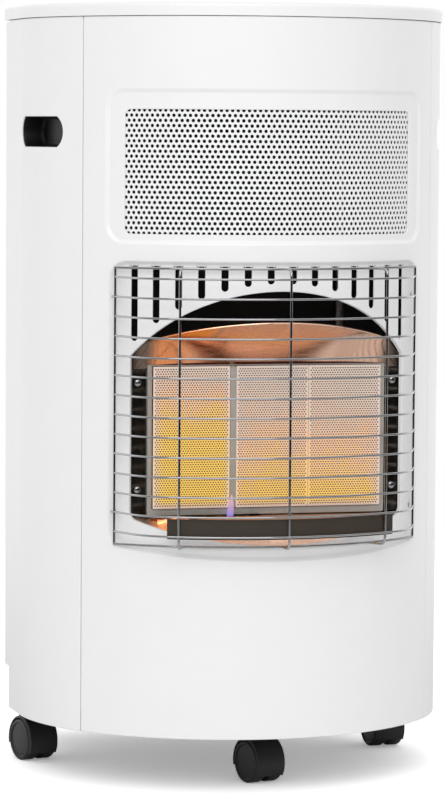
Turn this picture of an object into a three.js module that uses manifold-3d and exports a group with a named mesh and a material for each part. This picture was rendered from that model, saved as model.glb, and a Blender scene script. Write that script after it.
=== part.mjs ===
/**
 * Portable gas cabinet heater: a bow-fronted sheet-steel cabinet on three twin-wheel castors, with ceramic
 * radiant plaques behind a chrome guard and a bottle bay behind them.
 *
 * Units are millimetres and +Z is up. The front faces -Y. The origin is on the floor under the middle of the
 * heater. Sheet pieces are cut and pressed flat, then rolled round the cabinet's outline.
 */
import * as THREE from 'three';
import { mergeVertices } from 'three/addons/utils/BufferGeometryUtils.js';
import Module from 'manifold-3d';

const wasm = await Module();
wasm.setup();

// ------------------------------------------------------------------ driving dimensions

const CLEARANCE = 0.3; // air between pieces that touch
const SHEET = 1.2; // painted steel casing
const TRIM = 0.8; // polished reflector sheet
const FACET = 9; // degrees turned by one facet of a rolled sheet
const FAR = 2000; // longer than anything here, for cutters

// Casing
const HEIGHT = 730;
const FRONT_RADIUS = 209;
const SIDE_RADIUS = 182.8;
const SEAM_ANGLE = 54; // from straight ahead to the seam between front and side panels
const SEAM_GAP = 0.8;
const SIDE_REAR = 52; // rear edge of the side panels, behind the front arc's centre
const CASING_BOTTOM = 54;
const LID_HEIGHT = 12.3;
const LID_OVERHANG = 1.5;
const LID_EDGE_RADIUS = 4;
const HEM = 12; // inward return along the casing's top and bottom edges
const REAR_RETURN = 30; // inward return at the rear edge of the side panels
const SIDE_NOTCH = { width: 19, top: 94, lid: 2 }; // where the side panel's rear strip ends short

// Vent window and the pressed field round it
const VENT_HALF_ANGLE = 41.5;
const VENT_ABOVE_FIRE = 24;
const VENT_BELOW_LID = 85.2;
const VENT_CORNER = 6;
const VENT_FIELD = { halfAngle: 47, below: 10, above: 19.5, corner: 20, depth: 2.5, bevel: 5 };
const MESH_THICKNESS = 0.8;
const MESH_PITCH = 33;
const MESH_HOLE = 25;
const MESH_MARGIN = 6; // mesh hidden behind the window's edge

// Burner opening and the pressed field round it
const OPENING_HALF_ANGLE = 40;
const ARCH_APEX = 466.6;
const ARCH_RADIUS = 206.9;
const OPENING_LOWEST = 233;
const OPENING_BOTTOM_RADIUS = 465;
const OPENING_CORNER = 9;
const OPENING_RETURN = 2.5;
const FIRE_FIELD = {
  halfAngle: 46,
  lowest: 218,
  bottomRadius: 1190,
  top: 494.5,
  corner: 20,
  depth: 4,
  bevel: 5,
};
const SLOT_PAIRS = 7;
const SLOT_ANGLE = 5.97;
const SLOT_WIDTH = 6.6;
const SLOT_TOP = 490.3;
const SLOT_ARCH_GAP = 7;

// Hand-holds
const GRIP_ANGLE = 75.2; // from straight ahead, round the side arc
const GRIP_LENGTH = 83;
const GRIP_STRAIGHT = 65;
const GRIP_BELOW_LID = 120.7;
const GRIP_HEIGHT = 28.4;
const GRIP_DEPTH = 24;
const GRIP_WALL = 2;
const GRIP_FLANGE = 6;

// Rear
const COVER_REAR = 200;
const COVER_INSET = 36; // from the side panels' faces to the cover's
const COVER_CORNER = 60;
const COVER_BEND = 3;
const COVER_FLANGE = 26;
const RAIL_HEIGHT = 69.4;
const RAIL_GAP = 4; // above the rear rail and below it
const LOUVRE = { columns: 2, rows: 5, length: 90, height: 7, pitch: 24, spread: 120, belowTop: 50 };
const SHIELD_SETBACK = 49; // heat shield, behind the plaques' face
const BASE_RIM = 18;
const BASE_EAR = { inset: 11, rear: 80 }; // behind the side panels, over the rear castors

// Burner
const PLAQUE_SETBACK = 50; // behind the front panel's face
const PLAQUE_BOTTOM = 264.5;
const PLAQUE_HEIGHT = 131.5;
const PLAQUE_THICKNESS = 13;
const DIVIDER_X = -33.25;
const DIVIDER_WIDTH = 5.5;
const JOINT_X = 39.6; // butt joint between the centre and right plaques
const FRAME_SETBACK = 2; // behind the plaques' face
const FRAME_BORDER = 4.7;
const FRAME_BOTTOM_BORDER = 7;
const FRAME_THICKNESS = 6;
const HOUSING_DEPTH = 23.5;
const HOUSING_WALL = 1;
const VENTURI = { radius: 10, length: 60, lip: 14 };
const HOOD_SETBACK = 9; // the hood's front edge, behind the front panel's face
const HOOD_APEX = 437;
const HOOD_ARCH_RADIUS = 480;
const HOOD_WING_DROP = 4;
const SIDE_PLATE_SETBACK = 6; // behind the plaques' face
const SIDE_PLATE_WIDTH = 14; // with the gap to the frame
const SCREW = { inset: 5.5, upper: 381, lower: 282, head: 7, headHeight: 1.8, shank: 3 };
const PILOT_X = -37;
const PILOT_WINDOW = { left: -107, right: -7, depth: 11 };

// Guard
const WIRE = 2;
const UPRIGHT_WIRE = 2.4;
const WIRE_SIDES = 4;
const GUARD_STANDOFF = 26.5; // ahead of the front panel's face
const GUARD_BEND_ANGLE = 27;
const GUARD_BEND_RADIUS = 60;
const GUARD_END_ANGLE = 70;
const GUARD_END_GAP = 1.4; // from the panel's face to the wires' ends
const GUARD_ROWS = 14;
const GUARD_TOP = 478.9;
const GUARD_PITCH = 18.06;
const GUARD_UPRIGHT_ANGLE = 25;
const PRONG = 5;
const DEFLECTOR = { halfAngle: 27.8, bottom: 241.5, top: 260.2, thickness: 1 };

// Controls, in a well in the lid
const WELL = { left: 40, right: 172, front: -34, rear: 34, depth: 26, corner: 10 };
const KNOB = { x: 82, radius: 21, height: 16, crown: 2.5, travel: 4, ribs: 12 };
const IGNITER = { x: 142, radius: 8, head: 5, travel: 6, body: 11 };
const BEZEL_THICKNESS = 3;
const SPINDLE_RADIUS = 4;
const VALVE = { width: 44, depth: 36, height: 40 };
const PIPE_RADIUS = 4;

// Castors
const CASTOR = {
  wheelRadius: 20,
  wheelWidth: 13,
  width: 32,
  trail: 14,
  plateRadius: 13,
  plateThickness: 2.5,
  pin: 5,
  pinBottom: 41,
  axle: 2.5,
  shell: 2.2,
  wheelGap: 1, // from the tread to the hood
  hoodArc: [-15, 211], // degrees, from just below the axle behind to low in front
};
const CASTOR_SIDE_Y = 60;
const CASTOR_FRONT_SETBACK = 97; // behind the front panel's face

// ------------------------------------------------------------------ sizes that follow

const LID_SEAM = HEIGHT - LID_HEIGHT;
const PANEL_TOP = LID_SEAM - CLEARANCE;
const HALF_WIDTH = FRONT_RADIUS * sin(SEAM_ANGLE) + SIDE_RADIUS * (1 - sin(SEAM_ANGLE));
const SIDE_CENTRE_Y = -(FRONT_RADIUS - SIDE_RADIUS) * cos(SEAM_ANGLE);
const INNER = SHEET + CLEARANCE; // inset of whatever stands against the casing's inside
const FACET_SAG = FRONT_RADIUS * (1 - cos(FACET / 2)); // most that a facet cuts inside its arc
const BASE_BOTTOM = CASING_BOTTOM + SHEET + CLEARANCE;
const BASE_TOP = BASE_BOTTOM + SHEET;
const VENT_BOTTOM = FIRE_FIELD.top + VENT_ABOVE_FIRE;
const VENT_TOP = LID_SEAM - VENT_BELOW_LID;
const GRIP_BOTTOM = LID_SEAM - GRIP_BELOW_LID;
const COVER_FACE = SIDE_REAR + CLEARANCE + SHEET;
const COVER_HALF_WIDTH = HALF_WIDTH - COVER_INSET;
const RAIL_BOTTOM = PANEL_TOP - RAIL_GAP - RAIL_HEIGHT;
const COVER_TOP = RAIL_BOTTOM - RAIL_GAP;
const PLAQUE_FACE = FRONT_RADIUS - PLAQUE_SETBACK; // ahead of the front arc's centre, as the four below
const FRAME_FACE = PLAQUE_FACE - FRAME_SETBACK;
const SIDE_PLATE_FACE = PLAQUE_FACE - SIDE_PLATE_SETBACK;
const SHIELD_FRONT = PLAQUE_FACE - SHIELD_SETBACK;
const HOOD_RADIUS = FRONT_RADIUS - HOOD_SETBACK;
const SIDE_PLATE_OUTER = Math.sqrt(HOOD_RADIUS ** 2 - SIDE_PLATE_FACE ** 2) - CLEARANCE;
const FRAME_HALF_WIDTH = SIDE_PLATE_OUTER - SIDE_PLATE_WIDTH;
const PLAQUE_HALF_WIDTH = FRAME_HALF_WIDTH - FRAME_BORDER;
const SCREW_X = SIDE_PLATE_OUTER - SCREW.inset;
const PLAQUE_TOP = PLAQUE_BOTTOM + PLAQUE_HEIGHT;
const HOUSING_HALF_WIDTH = PLAQUE_HALF_WIDTH + 3;
const HOUSING_FRONT = -PLAQUE_FACE + PLAQUE_THICKNESS + CLEARANCE;
const HOUSING_REAR = HOUSING_FRONT + HOUSING_DEPTH;
const FRAME_TOP = PLAQUE_TOP + 1.5;
const FRAME_BOTTOM = PLAQUE_BOTTOM - FRAME_BOTTOM_BORDER;
const HOOD_REAR_Z = FRAME_TOP + CLEARANCE;
const GUARD_RADIUS = FRONT_RADIUS + GUARD_STANDOFF;
const UPRIGHT_RADIUS = GUARD_RADIUS - (WIRE + UPRIGHT_WIRE) / 2 + CLEARANCE;
const GUARD_BOTTOM = GUARD_TOP - (GUARD_ROWS - 1) * GUARD_PITCH;
const WELL_FLOOR = HEIGHT - WELL.depth;
const BEZEL_TOP = WELL_FLOOR + CLEARANCE + BEZEL_THICKNESS;
const FRONT_EXTENT = GUARD_RADIUS + WIRE / 2;
const CENTRE_SHIFT = (FRONT_EXTENT - COVER_REAR) / 2;

// ------------------------------------------------------------------ small helpers

function radians(degrees) {
  return THREE.MathUtils.degToRad(degrees);
}

function sin(degrees) {
  return Math.sin(radians(degrees));
}

function cos(degrees) {
  return Math.cos(radians(degrees));
}

/** A closed three.js geometry as a solid that can be joined and cut. */
function solid(geometry) {
  const bare = new THREE.BufferGeometry();
  bare.setAttribute('position', geometry.attributes.position.clone());
  if (geometry.index) bare.setIndex(geometry.index.clone());
  const merged = mergeVertices(bare, 1e-4);
  const positions = new Float32Array(merged.attributes.position.array);
  const triangles = [];
  let volume = 0;
  const corner = (i) => new THREE.Vector3().fromArray(positions, 3 * i);
  for (let i = 0; i < merged.index.count; i += 3) {
    const [a, b, c] = [merged.index.getX(i), merged.index.getX(i + 1), merged.index.getX(i + 2)];
    if (a === b || b === c || c === a) continue;
    volume += corner(a).dot(corner(b).cross(corner(c)));
    triangles.push([a, b, c]);
  }
  if (volume < 0) triangles.forEach((triangle) => triangle.reverse());
  const triVerts = new Uint32Array(triangles.flat());
  return new wasm.Manifold(new wasm.Mesh({ numProp: 3, vertProperties: positions, triVerts }));
}

/** The solid's surface as a three.js geometry. */
function surface(body) {
  const mesh = body.getMesh();
  const geometry = new THREE.BufferGeometry();
  geometry.setAttribute('position', new THREE.BufferAttribute(new Float32Array(mesh.vertProperties), 3));
  geometry.setIndex(new THREE.BufferAttribute(new Uint32Array(mesh.triVerts), 1));
  geometry.computeVertexNormals();
  return geometry;
}

function joined(...bodies) {
  return bodies.reduce((whole, body) => whole.add(body));
}

function box(x0, x1, y0, y1, z0, z1) {
  const geometry = new THREE.BoxGeometry(x1 - x0, y1 - y0, z1 - z0);
  geometry.translate((x0 + x1) / 2, (y0 + y1) / 2, (z0 + z1) / 2);
  return solid(geometry);
}

/** An upright cylinder, or with `along` a cylinder that starts at (x, y, z) and runs that way. */
function cylinder(x, y, z, radius, height, { sides = 12, along = null, endRadius = radius } = {}) {
  const geometry = new THREE.CylinderGeometry(endRadius, radius, height, sides);
  geometry.translate(0, height / 2, 0);
  const direction = along ?? new THREE.Vector3(0, 0, 1);
  geometry.applyQuaternion(new THREE.Quaternion().setFromUnitVectors(new THREE.Vector3(0, 1, 0), direction));
  geometry.translate(x, y, z);
  return solid(geometry);
}

/** A shape drawn in X and Y, solid between two heights. */
function lying(shape, z0, z1, curveSegments = 2) {
  const geometry = new THREE.ExtrudeGeometry(shape, { depth: z1 - z0, bevelEnabled: false, curveSegments });
  geometry.translate(0, 0, z0);
  return solid(geometry);
}

/** A shape drawn in X and Z, solid between two places along Y. */
function standing(shape, y0, y1, curveSegments = 2) {
  const geometry = new THREE.ExtrudeGeometry(shape, { depth: y1 - y0, bevelEnabled: false, curveSegments });
  geometry.rotateX(Math.PI / 2);
  geometry.translate(0, y1, 0);
  return solid(geometry);
}

/** A shape drawn in X and Z round the front's middle, turned to an angle and solid between two radii. */
function facing(shape, angle, inner, outer, curveSegments = 1) {
  const options = { depth: outer - inner, bevelEnabled: false, curveSegments };
  const geometry = new THREE.ExtrudeGeometry(shape, options);
  geometry.rotateX(Math.PI / 2);
  geometry.translate(0, -inner, 0);
  geometry.rotateZ(radians(angle));
  return solid(geometry);
}

function roundedRectangle(x0, x1, y0, y1, radius) {
  const shape = new THREE.Shape();
  shape.absarc(x1 - radius, y0 + radius, radius, -Math.PI / 2, 0, false);
  shape.absarc(x1 - radius, y1 - radius, radius, 0, Math.PI / 2, false);
  shape.absarc(x0 + radius, y1 - radius, radius, Math.PI / 2, Math.PI, false);
  shape.absarc(x0 + radius, y0 + radius, radius, Math.PI, 1.5 * Math.PI, false);
  return shape;
}

/**
 * A closed solid through rings of equal count. `outlines` holds the first and last ring laid flat, for the
 * caps.
 */
function loft(rings, outlines) {
  const count = rings[0].length;
  const index = [];
  for (let ring = 0; ring < rings.length - 1; ring += 1) {
    for (let i = 0; i < count; i += 1) {
      const a = ring * count + i;
      const b = ring * count + ((i + 1) % count);
      index.push(a, b, b + count, a, b + count, a + count);
    }
  }
  const last = (rings.length - 1) * count;
  for (const [a, b, c] of capTriangles(outlines[0])) index.push(c, b, a);
  for (const [a, b, c] of capTriangles(outlines[1])) index.push(last + a, last + b, last + c);
  const geometry = new THREE.BufferGeometry();
  const numbers = rings.flat().flatMap((point) => point.toArray());
  geometry.setAttribute('position', new THREE.Float32BufferAttribute(numbers, 3));
  geometry.setIndex(index);
  return solid(geometry);
}

/**
 * Triangles over an outline that every line along Y crosses at most twice, wound like the outline. They run
 * between its lower and upper edge in the order of X, so that none reaches past a fold.
 */
function capTriangles(outline) {
  const count = outline.length;
  const forward = THREE.ShapeUtils.area(outline) > 0;
  const step = forward ? 1 : count - 1;
  const before = (a, b) => a.x - b.x || a.y - b.y;
  const indices = outline.map((_, i) => i);
  const start = indices.reduce((a, b) => (before(outline[b], outline[a]) < 0 ? b : a));
  const end = indices.reduce((a, b) => {
    const [one, other] = [outline[b], outline[a]];
    return one.x > other.x || (one.x === other.x && one.y < other.y) ? b : a;
  });
  const chain = (stride) => {
    const walked = [start];
    while (walked.at(-1) !== end) walked.push((walked.at(-1) + stride) % count);
    return walked;
  };
  const [lower, upper] = [chain(step), chain(count - step)];
  const triangles = [];
  let [i, j] = [0, 0];
  while (i < lower.length - 1 || j < upper.length - 1) {
    const nextLower = lower[i + 1];
    const nextUpper = upper[j + 1];
    const lowerFirst = nextUpper === undefined
      || (nextLower !== undefined && outline[nextLower].x < outline[nextUpper].x);
    const triangle = lowerFirst ? [lower[i], nextLower, upper[j]] : [lower[i], nextUpper, upper[j]];
    if (lowerFirst) i += 1;
    else j += 1;
    if (new Set(triangle).size === 3) triangles.push(forward ? triangle : triangle.reverse());
  }
  return triangles;
}

/** The shape's outline as points, without a repeated end point. */
function outlineOf(shape, divisions = 2) {
  const points = shape.getPoints(divisions);
  if (points[0].distanceTo(points.at(-1)) < 1e-6) points.pop();
  return points;
}

/** A thin sheet between two edges of equal count, its thickness measured along `offset`. */
function ruledSheet(edgeA, edgeB, offset) {
  const outline = [...edgeA, ...[...edgeB].reverse()];
  const count = edgeA.length;
  const positions = [];
  for (const shift of [new THREE.Vector3(), offset]) {
    for (const point of outline) positions.push(...point.clone().add(shift).toArray());
  }
  const index = [];
  const total = outline.length;
  for (let i = 0; i < count - 1; i += 1) {
    const [a, b, c, d] = [i, i + 1, total - 2 - i, total - 1 - i];
    index.push(a, b, c, a, c, d);
    index.push(total + c, total + b, total + a, total + d, total + c, total + a);
  }
  for (let i = 0; i < total; i += 1) {
    const next = (i + 1) % total;
    index.push(next, i, total + i, next, total + i, total + next);
  }
  const geometry = new THREE.BufferGeometry();
  geometry.setAttribute('position', new THREE.Float32BufferAttribute(positions, 3));
  geometry.setIndex(index);
  return solid(geometry);
}

/** A path that stops only at its given points, so a straight run is one step long. */
class StoppedPath extends THREE.Curve {
  constructor(points) {
    super();
    this.points = points;
  }

  getPoint(u, target = new THREE.Vector3()) {
    const last = this.points.length - 1;
    const from = Math.min(Math.floor(u * last), last - 1);
    return target.lerpVectors(this.points[from], this.points[from + 1], u * last - from);
  }

  getPointAt(u, target) {
    return this.getPoint(u, target);
  }

  getTangent(u, target = new THREE.Vector3()) {
    const last = this.points.length - 1;
    const here = Math.round(u * last);
    const unit = (i) => new THREE.Vector3().subVectors(this.points[i + 1], this.points[i]).normalize();
    const before = unit(Math.max(here - 1, 0));
    const after = unit(Math.min(here, last - 1));
    return target.addVectors(before, after).normalize();
  }

  getTangentAt(u, target) {
    return this.getTangent(u, target);
  }
}

/** A round bar through points. */
function rod(points, radius, sides = WIRE_SIDES) {
  const section = new THREE.Shape();
  for (let i = 0; i < sides; i += 1) {
    const angle = (2 * Math.PI * (i + 0.5)) / sides;
    const [x, y] = [radius * Math.cos(angle), radius * Math.sin(angle)];
    if (i === 0) section.moveTo(x, y);
    else section.lineTo(x, y);
  }
  const path = new StoppedPath(points);
  return solid(new THREE.ExtrudeGeometry(section, { steps: points.length - 1, extrudePath: path }));
}

/** Points on a line through `corners`, each corner but the ends rounded to `radius` in a few steps. */
function rounded(corners, radius, steps = 4) {
  const points = [corners[0]];
  for (let i = 1; i < corners.length - 1; i += 1) {
    const into = new THREE.Vector3().subVectors(corners[i], corners[i - 1]).normalize();
    const out = new THREE.Vector3().subVectors(corners[i + 1], corners[i]).normalize();
    const cut = radius * Math.tan(into.angleTo(out) / 2);
    const start = corners[i].clone().addScaledVector(into, -cut);
    const end = corners[i].clone().addScaledVector(out, cut);
    const curve = new THREE.QuadraticBezierCurve3(start, corners[i], end);
    points.push(...curve.getPoints(steps));
  }
  points.push(corners.at(-1));
  return points;
}

// ------------------------------------------------------------------ rolled sheets

/**
 * An outline in plan made of straight runs and arcs, walked with its inside on the left. `at(s, inset)` is the
 * point at distance s from the outline's middle, and inset from it; `stops` are the places where it folds.
 */
class PlanPath {
  constructor(start, heading, runs) {
    this.runs = [];
    let [point, angle, from] = [start.clone(), heading, 0];
    const stops = [0];
    for (const { length, radius, turn, facet = FACET } of runs) {
      const arc = turn ? Math.abs(radians(turn)) * radius : length;
      this.runs.push({ point: point.clone(), angle, from, arc, radius, turn: turn ?? 0 });
      const steps = turn ? Math.max(1, Math.round(Math.abs(turn) / facet)) : 1;
      for (let i = 1; i <= steps; i += 1) stops.push(from + (arc * i) / steps);
      point = this.along(this.runs.at(-1), arc, 0);
      angle += turn ?? 0;
      from += arc;
    }
    this.middle = from / 2;
    this.stops = stops.map((stop) => stop - this.middle);
  }

  along(run, distance, inset) {
    const left = new THREE.Vector2(-sin(run.angle), cos(run.angle));
    if (!run.turn) {
      const ahead = new THREE.Vector2(cos(run.angle), sin(run.angle));
      return run.point.clone().addScaledVector(ahead, distance).addScaledVector(left, inset);
    }
    const side = Math.sign(run.turn);
    const centre = run.point.clone().addScaledVector(left, side * run.radius);
    const spoke = left.clone().multiplyScalar(-side * (run.radius - side * inset));
    return centre.add(spoke.rotateAround(new THREE.Vector2(), (side * distance) / run.radius));
  }

  at(s, inset = 0) {
    const distance = s + this.middle;
    const run = this.runs.findLast((candidate) => candidate.from <= distance + 1e-9) ?? this.runs[0];
    return this.along(run, distance - run.from, inset);
  }

  /** Where a point of the flat sheet comes to lie, straight between the folds on either side of it. */
  onFacet(point) {
    const after = this.stops.findIndex((stop) => stop >= point.x - 1e-9);
    const next = after < 0 ? this.stops.length - 1 : Math.max(after, 1);
    const [from, to] = [this.stops[next - 1], this.stops[next]];
    const place = this.at(from, point.y).lerp(this.at(to, point.y), (point.x - from) / (to - from));
    return new THREE.Vector3(place.x, place.y, point.z);
  }
}

/** Two flat outlines of equal count with points added, in both alike, where either crosses a fold. */
function creased(outlineA, outlineB, folds) {
  const [newA, newB] = [[], []];
  outlineA.forEach((startA, k) => {
    const next = (k + 1) % outlineA.length;
    const [startB, endA, endB] = [outlineB[k], outlineA[next], outlineB[next]];
    newA.push(startA);
    newB.push(startB);
    const crossings = [[startA, endA], [startB, endB]].flatMap(([start, end]) => (
      folds.map((fold) => (fold - start.x) / (end.x - start.x))
    ));
    const inside = crossings.filter((share) => share > 1e-6 && share < 1 - 1e-6).sort((a, b) => a - b);
    inside.forEach((share, i) => {
      if (i > 0 && share - inside[i - 1] < 1e-6) return;
      newA.push(onFold(startA, endA, share, folds));
      newB.push(onFold(startB, endB, share, folds));
    });
  });
  return [newA, newB];
}

/** A point on a line, set exactly on a fold that it all but touches. */
function onFold(start, end, share, folds) {
  const point = start.clone().lerp(end, share);
  const fold = folds.find((candidate) => Math.abs(candidate - point.x) < 1e-6);
  return new THREE.Vector2(fold ?? point.x, point.y);
}

/**
 * A sheet cut flat and rolled round a path. `shapeAt(y)` draws it (X along the path, Y up) at a depth inside
 * the path, so a shape that changes with depth gives bevelled edges.
 */
function rolledLoft(shapeAt, y0, y1, { path = casingPath, divisions = 2 } = {}) {
  const folds = path.stops.slice(1, -1);
  const outlines = creased(outlineOf(shapeAt(y0), divisions), outlineOf(shapeAt(y1), divisions), folds);
  const rings = outlines.map((outline, i) => (
    outline.map((point) => path.onFacet(new THREE.Vector3(point.x, i ? y1 : y0, point.y)))
  ));
  return loft(rings, outlines);
}

function rolledBox(s0, s1, y0, y1, z0, z1, path = casingPath) {
  const corners = [[s0, z0], [s1, z0], [s1, z1], [s0, z1]];
  const shape = new THREE.Shape(corners.map(([x, y]) => new THREE.Vector2(x, y)));
  return rolledLoft(() => shape, y0, y1, { path });
}

/** A field pressed into the casing: `shapeAt(grow)` draws its edge, bevelled down to its floor. */
function pressed(panel, shapeAt, { depth, bevel }) {
  const grow = (y) => (-bevel * y) / depth;
  const boss = rolledLoft((y) => shapeAt(grow(y - SHEET)), SHEET / 2, depth + SHEET);
  const hollow = rolledLoft((y) => shapeAt(grow(y)), -1, depth);
  return panel.add(boss).subtract(hollow);
}

const casingPath = new PlanPath(new THREE.Vector2(-HALF_WIDTH, SIDE_REAR), -90, [
  { length: SIDE_REAR - SIDE_CENTRE_Y },
  { radius: SIDE_RADIUS, turn: 90 - SEAM_ANGLE },
  { radius: FRONT_RADIUS, turn: 2 * SEAM_ANGLE },
  { radius: SIDE_RADIUS, turn: 90 - SEAM_ANGLE },
  { length: SIDE_REAR - SIDE_CENTRE_Y },
]);
const SEAM = radians(SEAM_ANGLE) * FRONT_RADIUS;
const CASING_END = casingPath.middle;

const RAIL_HALF_WIDTH = COVER_HALF_WIDTH + COVER_BEND + COVER_FLANGE;
const coverPath = new PlanPath(new THREE.Vector2(RAIL_HALF_WIDTH, COVER_FACE), 180, [
  { length: COVER_FLANGE },
  { radius: COVER_BEND, turn: -90, facet: 45 },
  { length: COVER_REAR - COVER_CORNER - COVER_FACE - COVER_BEND },
  { radius: COVER_CORNER, turn: 90, facet: 15 },
  { length: 2 * (COVER_HALF_WIDTH - COVER_CORNER) },
  { radius: COVER_CORNER, turn: 90, facet: 15 },
  { length: COVER_REAR - COVER_CORNER - COVER_FACE - COVER_BEND },
  { radius: COVER_BEND, turn: -90, facet: 45 },
  { length: COVER_FLANGE },
]);

/** Distance along the front for an angle from straight ahead. */
function onFront(angle) {
  return radians(angle) * FRONT_RADIUS;
}

/** Half the room between the casing's walls at a place along Y. */
function casingHalfWidthAt(y, inset) {
  if (y > SIDE_CENTRE_Y) return HALF_WIDTH - inset;
  const centreX = HALF_WIDTH - SIDE_RADIUS;
  return centreX + Math.sqrt((SIDE_RADIUS - inset) ** 2 - (y - SIDE_CENTRE_Y) ** 2);
}

// ------------------------------------------------------------------ outlines on the front panel

/** Walks a sagging bottom edge with rounded corners from left to right, into `shape`. */
function saggingBottom(shape, half, lowest, radius, corner) {
  const centreZ = lowest + radius;
  const cornerX = half - corner;
  const cornerZ = centreZ - Math.sqrt((radius - corner) ** 2 - cornerX ** 2);
  const lean = Math.atan2(cornerX, centreZ - cornerZ);
  shape.absarc(-cornerX, cornerZ, corner, Math.PI, 1.5 * Math.PI - lean, false);
  shape.absarc(0, centreZ, radius, 1.5 * Math.PI - lean, 1.5 * Math.PI + lean, false);
  shape.absarc(cornerX, cornerZ, corner, 1.5 * Math.PI + lean, 2 * Math.PI, false);
}

/** The arched burner opening, grown all round. */
function openingShape(grow = 0) {
  const half = onFront(OPENING_HALF_ANGLE) + grow;
  const radius = ARCH_RADIUS + grow;
  const centreZ = ARCH_APEX - ARCH_RADIUS;
  const spring = Math.acos(half / radius);
  const shape = new THREE.Shape();
  saggingBottom(shape, half, OPENING_LOWEST - grow, OPENING_BOTTOM_RADIUS + grow, OPENING_CORNER + grow);
  shape.absarc(0, centreZ, radius, spring, Math.PI - spring, false);
  return shape;
}

/** Height of the arch above a place along the front, `gap` outside it. */
function archAt(s, gap = 0) {
  return ARCH_APEX - ARCH_RADIUS + Math.sqrt((ARCH_RADIUS + gap) ** 2 - s ** 2);
}

/** Height of the opening's sagging bottom edge at a place along the front. */
function openingBottomAt(s) {
  return OPENING_LOWEST + OPENING_BOTTOM_RADIUS - Math.sqrt(OPENING_BOTTOM_RADIUS ** 2 - s ** 2);
}

/** The pressed field round the burner opening. */
function fireFieldShape(grow) {
  const { halfAngle, lowest, bottomRadius, top, corner } = FIRE_FIELD;
  const half = onFront(halfAngle) + grow;
  const radius = corner + grow;
  const shape = new THREE.Shape();
  saggingBottom(shape, half, lowest - grow, bottomRadius + grow, radius);
  shape.absarc(half - radius, top + grow - radius, radius, 0, Math.PI / 2, false);
  shape.absarc(radius - half, top + grow - radius, radius, Math.PI / 2, Math.PI, false);
  return shape;
}

function ventFieldShape(grow) {
  const { halfAngle, below, above, corner } = VENT_FIELD;
  const half = onFront(halfAngle) + grow;
  return roundedRectangle(-half, half, VENT_BOTTOM - below - grow, VENT_TOP + above + grow, corner + grow);
}

/** One upright slot above the arch, its lower end following the arch. */
function slotShape(angle) {
  const half = SLOT_WIDTH / 2;
  return roundedRectangle(-half, half, archAt(onFront(angle), SLOT_ARCH_GAP), SLOT_TOP, half - 1);
}

// ------------------------------------------------------------------ casing

/** Where the guard's prongs enter the panel: origin and direction of each prong. */
function prongs() {
  const rows = [GUARD_TOP - GUARD_PITCH, GUARD_BOTTOM + GUARD_PITCH];
  const end = guardEnd();
  return rows.flatMap((z) => [-1, 1].map((side) => {
    const origin = new THREE.Vector3(side * end.x, end.y, z);
    return { origin, direction: new THREE.Vector3(side * cos(GUARD_END_ANGLE), sin(GUARD_END_ANGLE), 0) };
  }));
}

function frontPanel() {
  const edge = SEAM - SEAM_GAP / 2;
  const floor = FIRE_FIELD.depth + SHEET;
  const vent = onFront(VENT_HALF_ANGLE);
  const divisions = 3;
  const window = roundedRectangle(-vent, vent, VENT_BOTTOM, VENT_TOP, VENT_CORNER);
  let panel = rolledBox(-edge, edge, 0, SHEET, CASING_BOTTOM, PANEL_TOP)
    .add(rolledBox(-edge, edge, SHEET / 2, HEM, CASING_BOTTOM, CASING_BOTTOM + SHEET))
    .add(rolledBox(-edge, edge, SHEET / 2, HEM, PANEL_TOP - SHEET, PANEL_TOP));
  panel = pressed(panel, ventFieldShape, VENT_FIELD);
  panel = pressed(panel, fireFieldShape, FIRE_FIELD);
  panel = panel
    .add(rolledLoft(() => openingShape(SHEET), floor - SHEET / 2, floor + OPENING_RETURN, { divisions }))
    .subtract(rolledLoft(() => openingShape(), -1, HEM + 1, { divisions }))
    .subtract(rolledLoft(() => window, -1, HEM + 1, { divisions: 1 }));
  for (let i = 0; i < SLOT_PAIRS; i += 1) {
    const angle = SLOT_ANGLE * (i + 0.5);
    for (const turn of [-angle, angle]) {
      const inner = FRONT_RADIUS - FIRE_FIELD.depth - 4 * SHEET;
      panel = panel.subtract(facing(slotShape(angle), turn, inner, FRONT_RADIUS + 1));
    }
  }
  for (const { origin, direction } of prongs()) {
    const radius = WIRE / 2 + CLEARANCE;
    panel = panel.subtract(cylinder(...origin.toArray(), radius, 20, { sides: 8, along: direction }));
  }
  return panel;
}

/** The hand-hold's opening in the side panel, with bulged ends, grown all round. */
function gripShape(middle, grow) {
  const straight = GRIP_STRAIGHT / 2;
  const bulge = (GRIP_LENGTH - GRIP_STRAIGHT) / 2;
  const half = GRIP_HEIGHT / 2;
  const radius = (half ** 2 + bulge ** 2) / (2 * bulge);
  const centreZ = GRIP_BOTTOM + half;
  const reach = straight + bulge - radius;
  const lean = Math.acos((straight - reach) / radius);
  const shape = new THREE.Shape();
  shape.absarc(middle + reach, centreZ, radius + grow, -lean, lean, false);
  shape.absarc(middle - reach, centreZ, radius + grow, Math.PI - lean, Math.PI + lean, false);
  return shape;
}

const GRIP_MIDDLE = SEAM + radians(GRIP_ANGLE - SEAM_ANGLE) * SIDE_RADIUS;

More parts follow.
